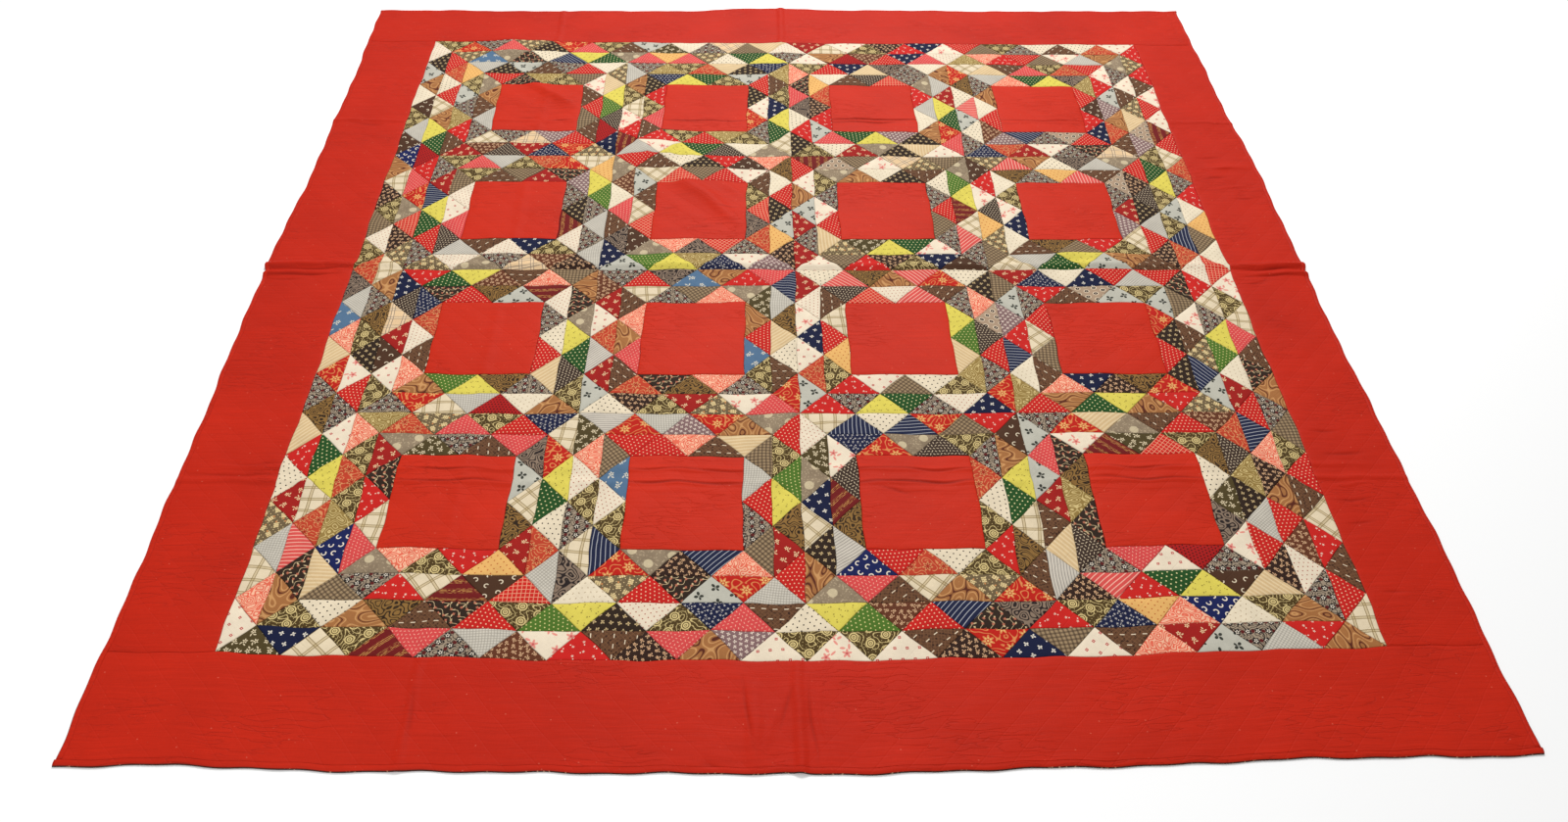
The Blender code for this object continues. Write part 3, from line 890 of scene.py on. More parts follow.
BLACK, WHITE = (40, 36, 38), (238, 234, 224)
LIGHT, DARK, BRIGHT = Tone.LIGHT, Tone.DARK, Tone.BRIGHT
COTTONS = (
    Cotton("red_pin_dots", "reds_dotted", dots, BRIGHT, 9.4, 7.2, 2.3, (198, 32, 28), (242, 206, 178)),
    Cotton("red_specks", "reds_dotted", dots, BRIGHT, 1.4, 6.0, 2.8, (170, 24, 24), (60, 10, 12)),
    Cotton("red_stars", "reds_dotted", stars, BRIGHT, 6.0, 16.5, 4.8, (202, 34, 30), WHITE),
    Cotton("red_grid", "reds_dotted", grid, BRIGHT, 1.2, 7.0, 1.0, (204, 36, 30), (236, 172, 146)),
    Cotton(
        *("red_garden", "reds_flowered", garden, BRIGHT, 4.2, 34.0, 22.0),
        *((190, 30, 20), (220, 142, 88), (232, 196, 128)),
    ),
    Cotton(
        *("coral_garden", "reds_flowered", garden, BRIGHT, 2.0, 27.0, 19.0),
        *((190, 66, 44), (216, 150, 104), (150, 38, 24)),
    ),
    Cotton(
        *("red_cream_flowers", "reds_flowered", blooms, BRIGHT, 3.6, 21.0, 8.0),
        *((160, 28, 24), (234, 208, 170), (160, 28, 24)),
    ),
    Cotton("maroon_lines", "maroons", broken_lines, DARK, 1.8, 18.0, 1.2, (112, 24, 26), (206, 160, 92)),
    Cotton("lilac_sprigs", "maroons", sprigs, DARK, 1.8, 9.0, 6.5, (132, 106, 112), (228, 218, 212)),
    Cotton(
        *("rust_flowers", "maroons", blooms, DARK, 2.4, 11.0, 6.0),
        *((100, 56, 36), (222, 186, 152), (80, 30, 20)),
    ),
    Cotton("pink_calico", "pinks", ticks, BRIGHT, 4.2, 6.4, 3.2, (214, 76, 80), (246, 186, 172)),
    Cotton("salmon_vine", "pinks", loops, BRIGHT, 1.6, 12.0, 2.0, (230, 112, 92), (248, 196, 172)),
    Cotton("pink_stripe", "pinks", stripes, BRIGHT, 1.0, 7.2, 1.6, (216, 84, 84), (244, 190, 180)),
    Cotton("yellow_sprigs", "yellows_greens", stars, BRIGHT, 0.0, 13.0, 3.8, (222, 214, 98), (112, 96, 44)),
    Cotton("peach_dots", "yellows_greens", dots, LIGHT, 1.8, 9.0, 2.5, (232, 186, 116), (184, 100, 50)),
    Cotton("green_dots", "yellows_greens", dots, DARK, 0.0, 8.4, 2.6, (34, 80, 34), (226, 222, 172)),
    Cotton("leaf_green_dots", "yellows_greens", dots, BRIGHT, 0.0, 7.2, 2.3, (78, 118, 42), (222, 216, 150)),
    Cotton("navy_sprigs", "navies", sprigs, DARK, 3.0, 18.5, 8.6, (18, 26, 64), (226, 226, 222)),
    Cotton("navy_figures", "navies", stars, DARK, 2.8, 8.4, 4.4, (20, 28, 68), (212, 214, 218)),
    Cotton("navy_stripes", "navies", stripes, DARK, 2.0, 7.6, 1.2, (28, 36, 72), (176, 184, 200)),
    Cotton("navy_rings", "navies", horseshoes, DARK, 0.6, 16.0, 7.5, (20, 32, 92), WHITE),
    Cotton(
        *("mid_blue_flowers", "navies", blooms, BRIGHT, 0.4, 26.0, 10.0),
        *((84, 118, 158), (216, 218, 212), (60, 92, 136)),
    ),
    Cotton("cream_pin_dots", "creams_dotted", dots, LIGHT, 4.8, 9.8, 2.7, (232, 224, 206), BLACK),
    Cotton("cream_ticks", "creams_dotted", ticks, LIGHT, 2.6, 9.0, 3.0, (234, 227, 210), (160, 138, 112)),
    Cotton("cream_red_specks", "creams_dotted", dots, LIGHT, 2.4, 8.0, 2.2, (234, 226, 212), (170, 84, 72)),
    Cotton("white_squares", "creams_pink", squares, LIGHT, 4.2, 19.0, 4.6, (236, 228, 214), (192, 84, 84)),
    Cotton(
        *("white_flowers", "creams_pink", blooms, LIGHT, 3.6, 33.0, 16.0),
        *((238, 230, 216), (230, 152, 146), (200, 96, 100)),
    ),
    Cotton(
        *("grey_check", "pale_greys", checks, LIGHT, 4.4, 4.6, 1.6),
        *((208, 208, 204), (150, 150, 148), (158, 156, 152)),
    ),
    Cotton("grey_stripe", "pale_greys", stripes, LIGHT, 1.0, 5.0, 1.4, (206, 204, 200), (152, 150, 150)),
    Cotton("grey_leaves", "pale_greys", sprigs, LIGHT, 4.4, 28.0, 16.5, (190, 194, 190), (54, 58, 54)),
    Cotton(
        *("olive_plaid", "plaids", plaid, LIGHT, 5.0, 25.0, 6.0),
        *((228, 218, 196), (184, 166, 120), (116, 96, 54)),
    ),
    Cotton(
        *("peach_plaid", "plaids", plaid, LIGHT, 0.8, 24.0, 8.0),
        *((230, 204, 168), (240, 222, 196), (84, 76, 84)),
    ),
    Cotton("tan_stripe", "plaids", stripes, LIGHT, 2.2, 7.0, 3.0, (214, 190, 150), (228, 210, 176)),
    Cotton(
        *("grey_daisies", "greys_flowered", daisies, DARK, 15.0, 17.0, 10.2),
        *((160, 148, 134), (58, 48, 44), (92, 28, 28)),
    ),
    Cotton(
        *("grey_disc", "greys_small", mottle, LIGHT, 3.0, 38.0, 16.0),
        *((182, 168, 146), (128, 114, 98), (216, 206, 178)),
    ),
    Cotton("slate_meander", "greys_small", loops, DARK, 2.4, 16.0, 2.0, (138, 122, 110), (38, 30, 32)),
    Cotton(
        *("taupe_check", "greys_small", checks, DARK, 4.6, 7.0, 3.0),
        *((160, 140, 112), (58, 44, 36), (66, 50, 40)),
    ),
    Cotton("brown_ticks", "greys_small", ticks, DARK, 3.0, 6.4, 4.2, (60, 46, 40), (206, 194, 172)),
    Cotton("olive_scrolls", "olives", scrolls, DARK, 14.0, 13.5, 2.0, (78, 62, 30), (220, 204, 148)),
    Cotton("pale_olive", "olives_pale", loops, LIGHT, 2.4, 15.0, 1.2, (150, 128, 74), (214, 198, 144)),
    Cotton("brown_loops", "olives_pale", loops, DARK, 4.4, 15.0, 1.8, (140, 108, 60), (46, 32, 20)),
    Cotton(
        *("tan_waves", "waves", wavy_bands, DARK, 7.0, 24.0, 2.0),
        *((164, 112, 68), (202, 154, 104), (88, 38, 24)),
    ),
    Cotton(
        *("brown_bars", "browns", bars, DARK, 10.0, 18.0, 6.0),
        *((58, 35, 25), (232, 222, 204), (124, 88, 62)),
    ),
    Cotton("horseshoe_brown", "browns", horseshoes, DARK, 1.0, 20.0, 7.0, (76, 50, 34), (226, 218, 200)),
    Cotton("umber_sprigs", "browns_dark", sprigs, DARK, 3.4, 13.0, 7.6, (46, 33, 24), (200, 180, 138)),
    Cotton(
        *("umber_vine", "browns_dark", vine, DARK, 3.6, 16.0, 8.0),
        *((48, 35, 27), (212, 194, 158), (190, 118, 96)),
    ),
    Cotton(
        *("umber_peach_flowers", "browns_dark", blooms, DARK, 3.4, 11.0, 5.8),
        *((50, 31, 24), (226, 188, 152), (120, 60, 40)),
    ),
    Cotton(
        *("olive_leaf_sprays", "leafy", leaf_sprays, DARK, 5.0, 18.0, 12.0),
        *((112, 98, 74), (228, 210, 162), (208, 146, 92)),
    ),
    Cotton(
        *("olive_white_clusters", "leafy", blooms, DARK, 2.4, 17.0, 9.0),
        *((78, 68, 38), (218, 208, 182), (84, 74, 44)),
    ),
    Cotton(
        *("taupe_eyes", "leafy", eyes, LIGHT, 1.6, 17.0, 9.5),
        *((172, 152, 134), (54, 42, 42), (234, 222, 204)),
    ),
)
YELLOW, GREEN, LEAF_GREEN = (
    [c.name for c in COTTONS].index(n) for n in ("yellow_sprigs", "green_dots", "leaf_green_dots")
)


def new_material(name: str) -> tuple[bpy.types.Material, bpy.types.NodeTree, bpy.types.Node]:
    """A material with its tree and its shader."""
    made = bpy.data.materials.new(name)
    made.use_nodes = True
    return made, made.node_tree, made.node_tree.nodes["Principled BSDF"]


def read(tree: bpy.types.NodeTree, name: str) -> tuple[Wire, Wire, Wire]:
    """The three numbers of one of the mesh's own attributes."""
    node = tree.nodes.new("ShaderNodeAttribute")
    node.attribute_name = name
    split = tree.nodes.new("ShaderNodeSeparateXYZ")
    tree.links.new(node.outputs["Vector"], split.inputs[0])
    x, y, z = (Wire(tree, split.outputs[k]) for k in range(3))
    return x, y, z


def mixed(
    tree: bpy.types.NodeTree,
    share: Wire | float,
    under: bpy.types.NodeSocket | tuple[float, float, float],
    over: bpy.types.NodeSocket | tuple[float, float, float],
    blend: str = "MIX",
) -> bpy.types.NodeSocket:
    """Lays one colour over another.

    Args:
        tree: The material's tree.
        share: How much of the upper colour shows.
        under: The lower colour, as a socket or as linear light.
        over: The upper one.
        blend: How the two are put together.

    Returns:
        The mixed colour's socket.
    """
    node = tree.nodes.new("ShaderNodeMix")
    node.data_type = "RGBA"
    node.blend_type = blend
    plug(tree, share, node.inputs[0])
    for slot, colour in ((node.inputs[6], under), (node.inputs[7], over)):
        if isinstance(colour, tuple):
            slot.default_value = (*colour, 1.0)
        else:
            tree.links.new(colour, slot)
    return node.outputs[2]


def grey(value: Wire) -> bpy.types.NodeSocket:
    """A wire as a grey colour."""
    node = value.tree.nodes.new("ShaderNodeCombineColor")
    for slot in node.inputs[:3]:
        plug(value.tree, value, slot)
    return node.outputs[0]


def slubs(x: Wire, y: Wire) -> Wire:
    """Uneven threads both ways: two noises, each drawn out along its own threads."""
    return noise(x, y, 90.0, 1500.0, 0.0) * 0.5 + noise(x, y, 1500.0, 90.0, 0.0) * 0.5


def quilted_rows(u: Wire, v: Wire) -> Wire:
    """Depth of the rows of quilting, 1 on a row: the rows that show in each part of the quilt."""
    rising, falling = (u + v).wrapped(1.0).size(), (u - v).wrapped(1.0).size()
    right = (u + v * 0.6 - 40.0).math("MULTIPLY_ADD", 0.12, 0.5, clamp=True)
    return rising.under(0.022, 0.03) * right + falling.under(0.022, 0.03) * (right * -1.0 + 1.0)


def set_bump(tree: bpy.types.NodeTree, shader: bpy.types.Node, height: Wire, depth: float) -> None:
    """Gives a shader a relief from a height between 0 and 1, of this depth in metres."""
    node = tree.nodes.new("ShaderNodeBump")
    node.inputs["Distance"].default_value = depth
    node.inputs["Strength"].default_value = 1.0
    tree.links.new(height.socket, node.inputs["Height"])
    tree.links.new(node.outputs[0], shader.inputs["Normal"])


@dataclass(frozen=True)
class PrintedFinish:
    """A printed cotton's finish: its print, yellowed with age, soft fading, thread and painted shade along
    the seams.
    """

    cotton: Cotton
    roughness: float = 0.78
    fade: float = 0.22
    aged: tuple[float, float, float] = (1.0, 0.92, 0.80)

    def make(self) -> bpy.types.Material:
        """Builds the material.

        Returns:
            The material.
        """
        made, tree, shader = new_material(self.cotton.name)
        x, y, _ = read(tree, PRINT)
        u, v, seam = read(tree, PLACE)
        colour: bpy.types.NodeSocket | tuple[float, float, float] = linear(*self.cotton.ground)
        for mask, figure in self.cotton.design(Ground(x, y), self.cotton):
            colour = mixed(tree, mask, colour, linear(*figure))
        threads = slubs(x, y)
        worn = noise(x, y, 28.0, 28.0, 2.0) * self.fade + threads * 0.22
        shade = worn + (1.0 - self.fade / 2 - 0.11)
        # Painted shade: the colour darkens by 12 % within half a millimetre of a seam, where the seam's
        # ditch lies in shade
        painted_seam_shade = seam.under(0.0005, 0.0009) * -0.12 + 1.0
        colour = mixed(tree, 1.0, colour, grey(shade * painted_seam_shade), "MULTIPLY")
        colour = mixed(tree, 1.0, colour, self.aged, "MULTIPLY")
        tree.links.new(colour, shader.inputs["Base Color"])
        shader.inputs["Roughness"].default_value = self.roughness
        shader.inputs["Specular IOR Level"].default_value = 0.15
        height = threads * 0.35 - quilted_rows(u, v) * 0.35
        set_bump(tree, shader, height, 0.0007)
        return made


@dataclass(frozen=True)
class RedFinish:
    """Plain red cotton: slubs drawn out across the cloth, slow fading and small worn specks, with shade
    painted into its colour along the creases, the crinkles and the seams.

    The seam-shade depth is how dark the painted shade along its seams is, and lip is the colour of the near
    edge: the dark brown backing that shows there, with small worn spots, and a painted contact shadow where
    the edge meets the floor.
    """

    name: str
    colour: tuple[int, int, int]
    worn: tuple[int, int, int]
    roughness: float = 0.62
    seam_shade_depth: float = 0.30
    lip: tuple[int, int, int] | None = None

    def make(self) -> bpy.types.Material:
        """Builds the material.

        Returns:
            The material.
        """
        made, tree, shader = new_material(self.name)
        x, y, across = read(tree, PRINT)
        u, v, seam = read(tree, PLACE)
        painted_crease_shade: Wire | float = 1.0
        streaks = noise(x, y, 9.0, 420.0, 2.0)
        colour = mixed(tree, noise(x, y, 3.0, 3.0, 2.0), linear(*self.colour), linear(*self.worn))
        specks = noise(x, y, 190.0, 230.0, 0.0).under(0.08, 0.02) * 0.4
        colour = mixed(tree, specks, colour, linear(232, 120, 96))
        # The near edge's lip: the dark brown backing with small worn spots, darkened as a painted contact
        # shadow where the edge meets the floor
        if self.lip is not None:
            rim = (across * -1.0).under(-0.86, 0.08) * (v * -1.0).under(-FIELD - 1.0, 0.5)
            worn_spots = noise(u * STEP, v * STEP, 210.0, 210.0, 1.0).under(0.27, 0.04)
            edge = mixed(tree, worn_spots, linear(*self.lip), linear(186, 150, 120))
            colour = mixed(tree, rim, colour, edge)
        else:
            # Painted shade: the colour darkens by up to 40 % down the narrow creases
            painted_crease_shade = across * -0.40 + 1.0
        threads = slubs(x, y) * 0.45 + streaks * 0.55
        creased = noise(x, y, 16.0, 95.0, 1.0)
        patchy = noise(x, y, 5.0, 9.0, 0.0).under(0.42, 0.12)
        crinkles = (creased - 0.5).size().under(0.012, 0.03) * patchy
        # Painted shade along the seams, as deep as the seam-shade depth
        painted_seam_shade = seam.under(0.0008, 0.0010) * -self.seam_shade_depth + 1.0
        mottled = noise(x, y, 6.0, 9.0, 3.0) * 0.20 + 0.90
        # Painted shade: the crinkles darken the colour by 14 %, the creases by their crease factor and the
        # seams by the painted seam shade
        shade = (threads * 0.42 + 0.78) * painted_seam_shade * (crinkles * -0.14 + 1.0) * mottled * painted_crease_shade
        colour = mixed(tree, 1.0, colour, grey(shade), "MULTIPLY")
        tree.links.new(colour, shader.inputs["Base Color"])
        shader.inputs["Roughness"].default_value = self.roughness
        shader.inputs["Specular IOR Level"].default_value = 0.10
        height = threads * 0.5 - quilted_rows(u, v) * 0.22 - crinkles * 0.5 + creased * 0.6
        set_bump(tree, shader, height, 0.0008)
        return made


@dataclass(frozen=True)
class BackFinish:
    """The plain dark cotton of the quilt's underside."""

    name: str = "brown_backing_cotton"
    colour: tuple[int, int, int] = (74, 52, 40)

    def make(self) -> bpy.types.Material:
        """Builds the material.

        Returns:
            The material.
        """
        made, tree, shader = new_material(self.name)
        u, v, _ = read(tree, PLACE)
        threads = slubs(u * STEP, v * STEP)
        colour = mixed(tree, threads, linear(*self.colour), linear(*(c + 26 for c in self.colour)))
        tree.links.new(colour, shader.inputs["Base Color"])
        shader.inputs["Roughness"].default_value = 0.85
        set_bump(tree, shader, threads - quilted_rows(u, v) * 0.8, 0.0006)
        return made


# Meshes


@dataclass
class Cloth:
    """A closed mesh in the making: its points, their numbers for the shaders, and its faces.

    Faces come in groups, each an array of faces with the same number of corners, and finishes
    holds the material's number of each face, group by group.
    """

    name: str
    points: np.ndarray
    prints: np.ndarray
    places: np.ndarray
    faces: list[np.ndarray]
    finishes: list[np.ndarray]

    def put(self, materials: Sequence[bpy.types.Material]) -> bpy.types.Object:
        """Makes the object, at the origin, riding on the quilt's one body.

        Args:
            materials: The materials that the faces number.

        Returns:
            The object.
        """
        mesh = bpy.data.meshes.new(self.name)
        faces = [face for group in self.faces for face in group.tolist()]
        mesh.from_pydata(self.points.tolist(), [], faces)
        for name, values in ((PRINT, self.prints), (PLACE, self.places)):
            layer = mesh.attributes.new(name, "FLOAT_VECTOR", "POINT")
            layer.data.foreach_set("vector", values.astype(np.float32).ravel())
        for material in materials:
            mesh.materials.append(material)
        mesh.polygons.foreach_set("material_index", np.concatenate(self.finishes).astype(np.int32))
        mesh.polygons.foreach_set("use_smooth", np.ones(len(faces), bool))
        mesh.update()
        if mesh.validate():
            raise ValueError(f"{self.name} has faces that are not real ones")
        made = bpy.data.objects.new(self.name, mesh)
        bpy.context.scene.collection.objects.link(made)
        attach(made, "root")
        LOG.info("%s: %d faces", self.name, len(faces))
        return made


@dataclass
class Patches:
    """Many patches as one mesh: each a closed puffed triangle that meets its neighbours.

    A patch is a set of rings round the middle of its inscribed circle, so a ring's distance from
    the seams is one number. The rim is drawn in by half a hair, and the underside meets the seam.
    """

    along: int
    rings: tuple[float, ...]
    reach: float = STEP * (math.sqrt(2) - 1)
    # The middle of the inscribed circle as shares of the three corners
    weights: tuple[float, float, float] = (0.29289, 0.29289, 0.41421)

    def outline(self) -> np.ndarray:
        """Shares of the three corners for the points round a patch, corner by corner."""
        t = np.arange(self.along) / self.along
        sides = []
        for k in range(3):
            share = np.zeros((self.along, 3))
            share[:, k], share[:, (k + 1) % 3] = 1 - t, t
            sides.append(share)
        return np.concatenate(sides)

    def template(self, around: int, per: int) -> tuple[np.ndarray, np.ndarray, np.ndarray]:
        """One patch's faces: four-sided ones between the rings, then the two fans.

        Args:
            around: The number of points in a ring.
            per: The number of points in a patch.

        Returns:
            The rings' faces, the upper fan's and the underside's.
        """
        k = np.arange(around)
        n = (k + 1) % around
        bands = []
        for ring in range(len(self.rings)):
            a, b = ring * around + k, ring * around + n
            bands.append(np.stack([a, b, b + around, a + around], 1))
        top = len(self.rings) * around
        upper = np.stack([top + k, top + n, np.full(around, per - 2)], 1)
        return np.concatenate(bands), upper, np.stack([n, k, np.full(around, per - 1)], 1)

    def mesh(self, name: str, corners: np.ndarray, grain: np.ndarray, finish: np.ndarray) -> Cloth:
        """Works out the patches' mesh.

        Args:
            name: The piece's name.
            corners: The patches' corners in the layout, anticlockwise seen from above.
            grain: For each patch the turn of its print and the print's place, two numbers.
            finish: The number of each patch's material.

        Returns:
            The mesh.
        """
        count, around = len(corners), 3 * self.along
        rim = np.einsum("rk,nkc->nrc", self.outline(), corners)
        middle = np.einsum("k,nkc->nc", np.array(self.weights), corners)[:, None]
        shares = (1.0, *self.rings)
        lay = np.concatenate([*(middle + (rim - middle) * s for s in shares), middle, middle], 1)
        away = [np.full(around, (1 - s) * self.reach) for s in shares]
        seam = np.concatenate([*away, [self.reach, self.reach]])
        seam = np.broadcast_to(seam, lay.shape[:2])
        u, v = lay[..., 0], lay[..., 1]
        x, y = LIE.ground(u, v)
        z = LIE.face(u, v, seam, quilted=0.0)
        per = x.shape[1]
        low = np.r_[0:around, per - 1]
        z[:, low] = LIE.lift(u[:, low], v[:, low])
        c, s = np.cos(grain[:, :1]), np.sin(grain[:, :1])
        local = (lay - middle) * STEP
        p = local[..., 0] * c - local[..., 1] * s + grain[:, 1:2]
        q = local[..., 0] * s + local[..., 1] * c + grain[:, 2:3]
        prints = np.stack([p, q, np.broadcast_to(grain[:, 1:2], p.shape)], -1)
        starts = (np.arange(count) * per)[:, None, None]
        groups = [(one[None] + starts) for one in self.template(around, per)]
        kinds = [np.repeat(finish + 1, g.shape[1]) for g in groups[:2]]
        kinds.append(np.zeros(count * around, int))
        faces = [g.reshape(-1, g.shape[-1]) for g in groups]
        places = np.stack([u, v, seam], -1).reshape(-1, 3)
        points = np.stack([x, y, z], -1).reshape(-1, 3)
        return Cloth(name, points, prints.reshape(-1, 3), places, faces, kinds)


FLAT_PATCH = Patches(along=4, rings=(0.9928, 0.92, 0.66))
FOLDED_PATCH = Patches(along=8, rings=(0.9928, 0.94, 0.82, 0.64, 0.44, 0.22))


def folded(corners: np.ndarray) -> np.ndarray:
    """Whether a fold, a hump or a wrinkle crosses each patch.

    Args:
        corners: The patches' corners in the layout.

    Returns:
        One truth value a patch: the lift or the wrinkles differ by over 0.4 mm within it.
    """
    t = np.linspace(0, 1, 9)
    a, b = (g.ravel() for g in np.meshgrid(t, t))
    share = np.stack([a, b, 1 - a - b], 1)[a + b <= 1.0001]
    spots = np.einsum("rk,nkc->nrc", share, corners)
    u, v = spots[..., 0], spots[..., 1]
    height = LIE.lift(u, v) + np.sum([wrinkle.rise(u, v) for wrinkle in WRINKLES], axis=0)
    return np.ptp(height, axis=1) > 0.0004


def sheet_of(name: str, us: np.ndarray, vs: np.ndarray, shift: float = 0.0) -> Cloth:
    """A closed rectangular sheet of the layout, with its rim drawn in by a hair.

    Upper and lower face are the same grid. The seam distance is that to the nearest side, but for
    those under the binding, where the cloth doesn't sink.

    Args:
        name: The piece's name.
        us: The grid's lines across, in steps.
        vs: The grid's lines along, in steps.
        shift: Moves the cloth's threads, so that no two pieces look alike.

    Returns:
        The mesh.
    """
    hair = 0.00015 / STEP
    u, v = np.meshgrid(us, vs)
    bound = (-BORDER, FIELD + BORDER)
    sides = [np.abs(u - side) for side in (us[0], us[-1]) if side not in bound]
    sides += [np.abs(v - side) for side in (vs[0], vs[-1]) if side not in bound]
    seam = np.min(sides, axis=0) * STEP
    top_u, top_v = np.clip(u, us[0] + hair, us[-1] - hair), np.clip(v, vs[0] + hair, vs[-1] - hair)
    x, y = LIE.ground(top_u, top_v)
    low_x, low_y = LIE.ground(u, v)
    z, low_z = LIE.face(u, v, seam), LIE.lift(u, v)
    top = np.stack([x, y, z], -1).reshape(-1, 3)
    low = np.stack([low_x, low_y, low_z], -1).reshape(-1, 3)
    rows, columns = u.shape
    at = np.arange(rows * columns).reshape(rows, columns)
    a, b, c, d = at[1:, :-1], at[1:, 1:], at[:-1, 1:], at[:-1, :-1]
    upper = np.stack([a, b, c, d], -1).reshape(-1, 4)
    lower = upper[:, ::-1] + rows * columns
    rim = np.concatenate([at[-1, :], at[-2::-1, -1], at[0, -2::-1], at[1:-1, 0]])
    ahead = np.roll(rim, -1)
    wall = np.stack([rim + rows * columns, ahead + rows * columns, ahead, rim], 1)
    kinds = [np.zeros(len(upper)), np.ones(len(lower)), np.zeros(len(wall))]
    # The third print number is the depth of the narrow creases, which the red finish paints as shade
    prints = np.stack([u * STEP + shift, v * STEP + shift, LIE.painted_crease_shade(u, v)], -1).reshape(-1, 3)
    places = np.stack([u, v, seam], -1).reshape(-1, 3)
    points = np.concatenate([top, low])
    numbers = (np.tile(values, (2, 1)) for values in (prints, places))
    return Cloth(name, points, *numbers, [upper, lower, wall], kinds)


def joined(name: str, parts: Sequence[Cloth]) -> Cloth:
    """Several meshes as one."""
    starts = np.cumsum([0] + [len(part.points) for part in parts[:-1]])
    return Cloth(
        name,
        np.concatenate([part.points for part in parts]),
        np.concatenate([part.prints for part in parts]),
        np.concatenate([part.places for part in parts]),
        [group + start for part, start in zip(parts, starts) for group in part.faces],
        [kinds for part in parts for kinds in part.finishes],
    )


def grid_lines(
    start: float, stop: float, pitch: float, fine: Sequence[tuple[float, float]] = ()
) -> np.ndarray:
    """Lines of a grid: close by the two ends, fine in given stretches and even elsewhere.

    Args:
        start: The first line, in steps.
        stop: The last one.
        pitch: The even distance.
        fine: Stretches whose lines are close enough for a narrow wrinkle.

    Returns:
        The lines, in rising order.
    """
    ends = np.array([0.0, 0.02, 0.06, 0.12])
    count = max(2, round((stop - start - 0.24) / pitch))
    middle = np.linspace(start + 0.24, stop - 0.24, count)
    extra = [np.arange(max(a, start + 0.24), min(b, stop - 0.24), 0.034) for a, b in fine]
    lines = np.sort(np.concatenate([start + ends, middle, *extra, stop - ends]))
    keep = np.concatenate([[True], np.diff(lines) > 0.012])
    keep[-1] = True
    return lines[keep]


# The pieces


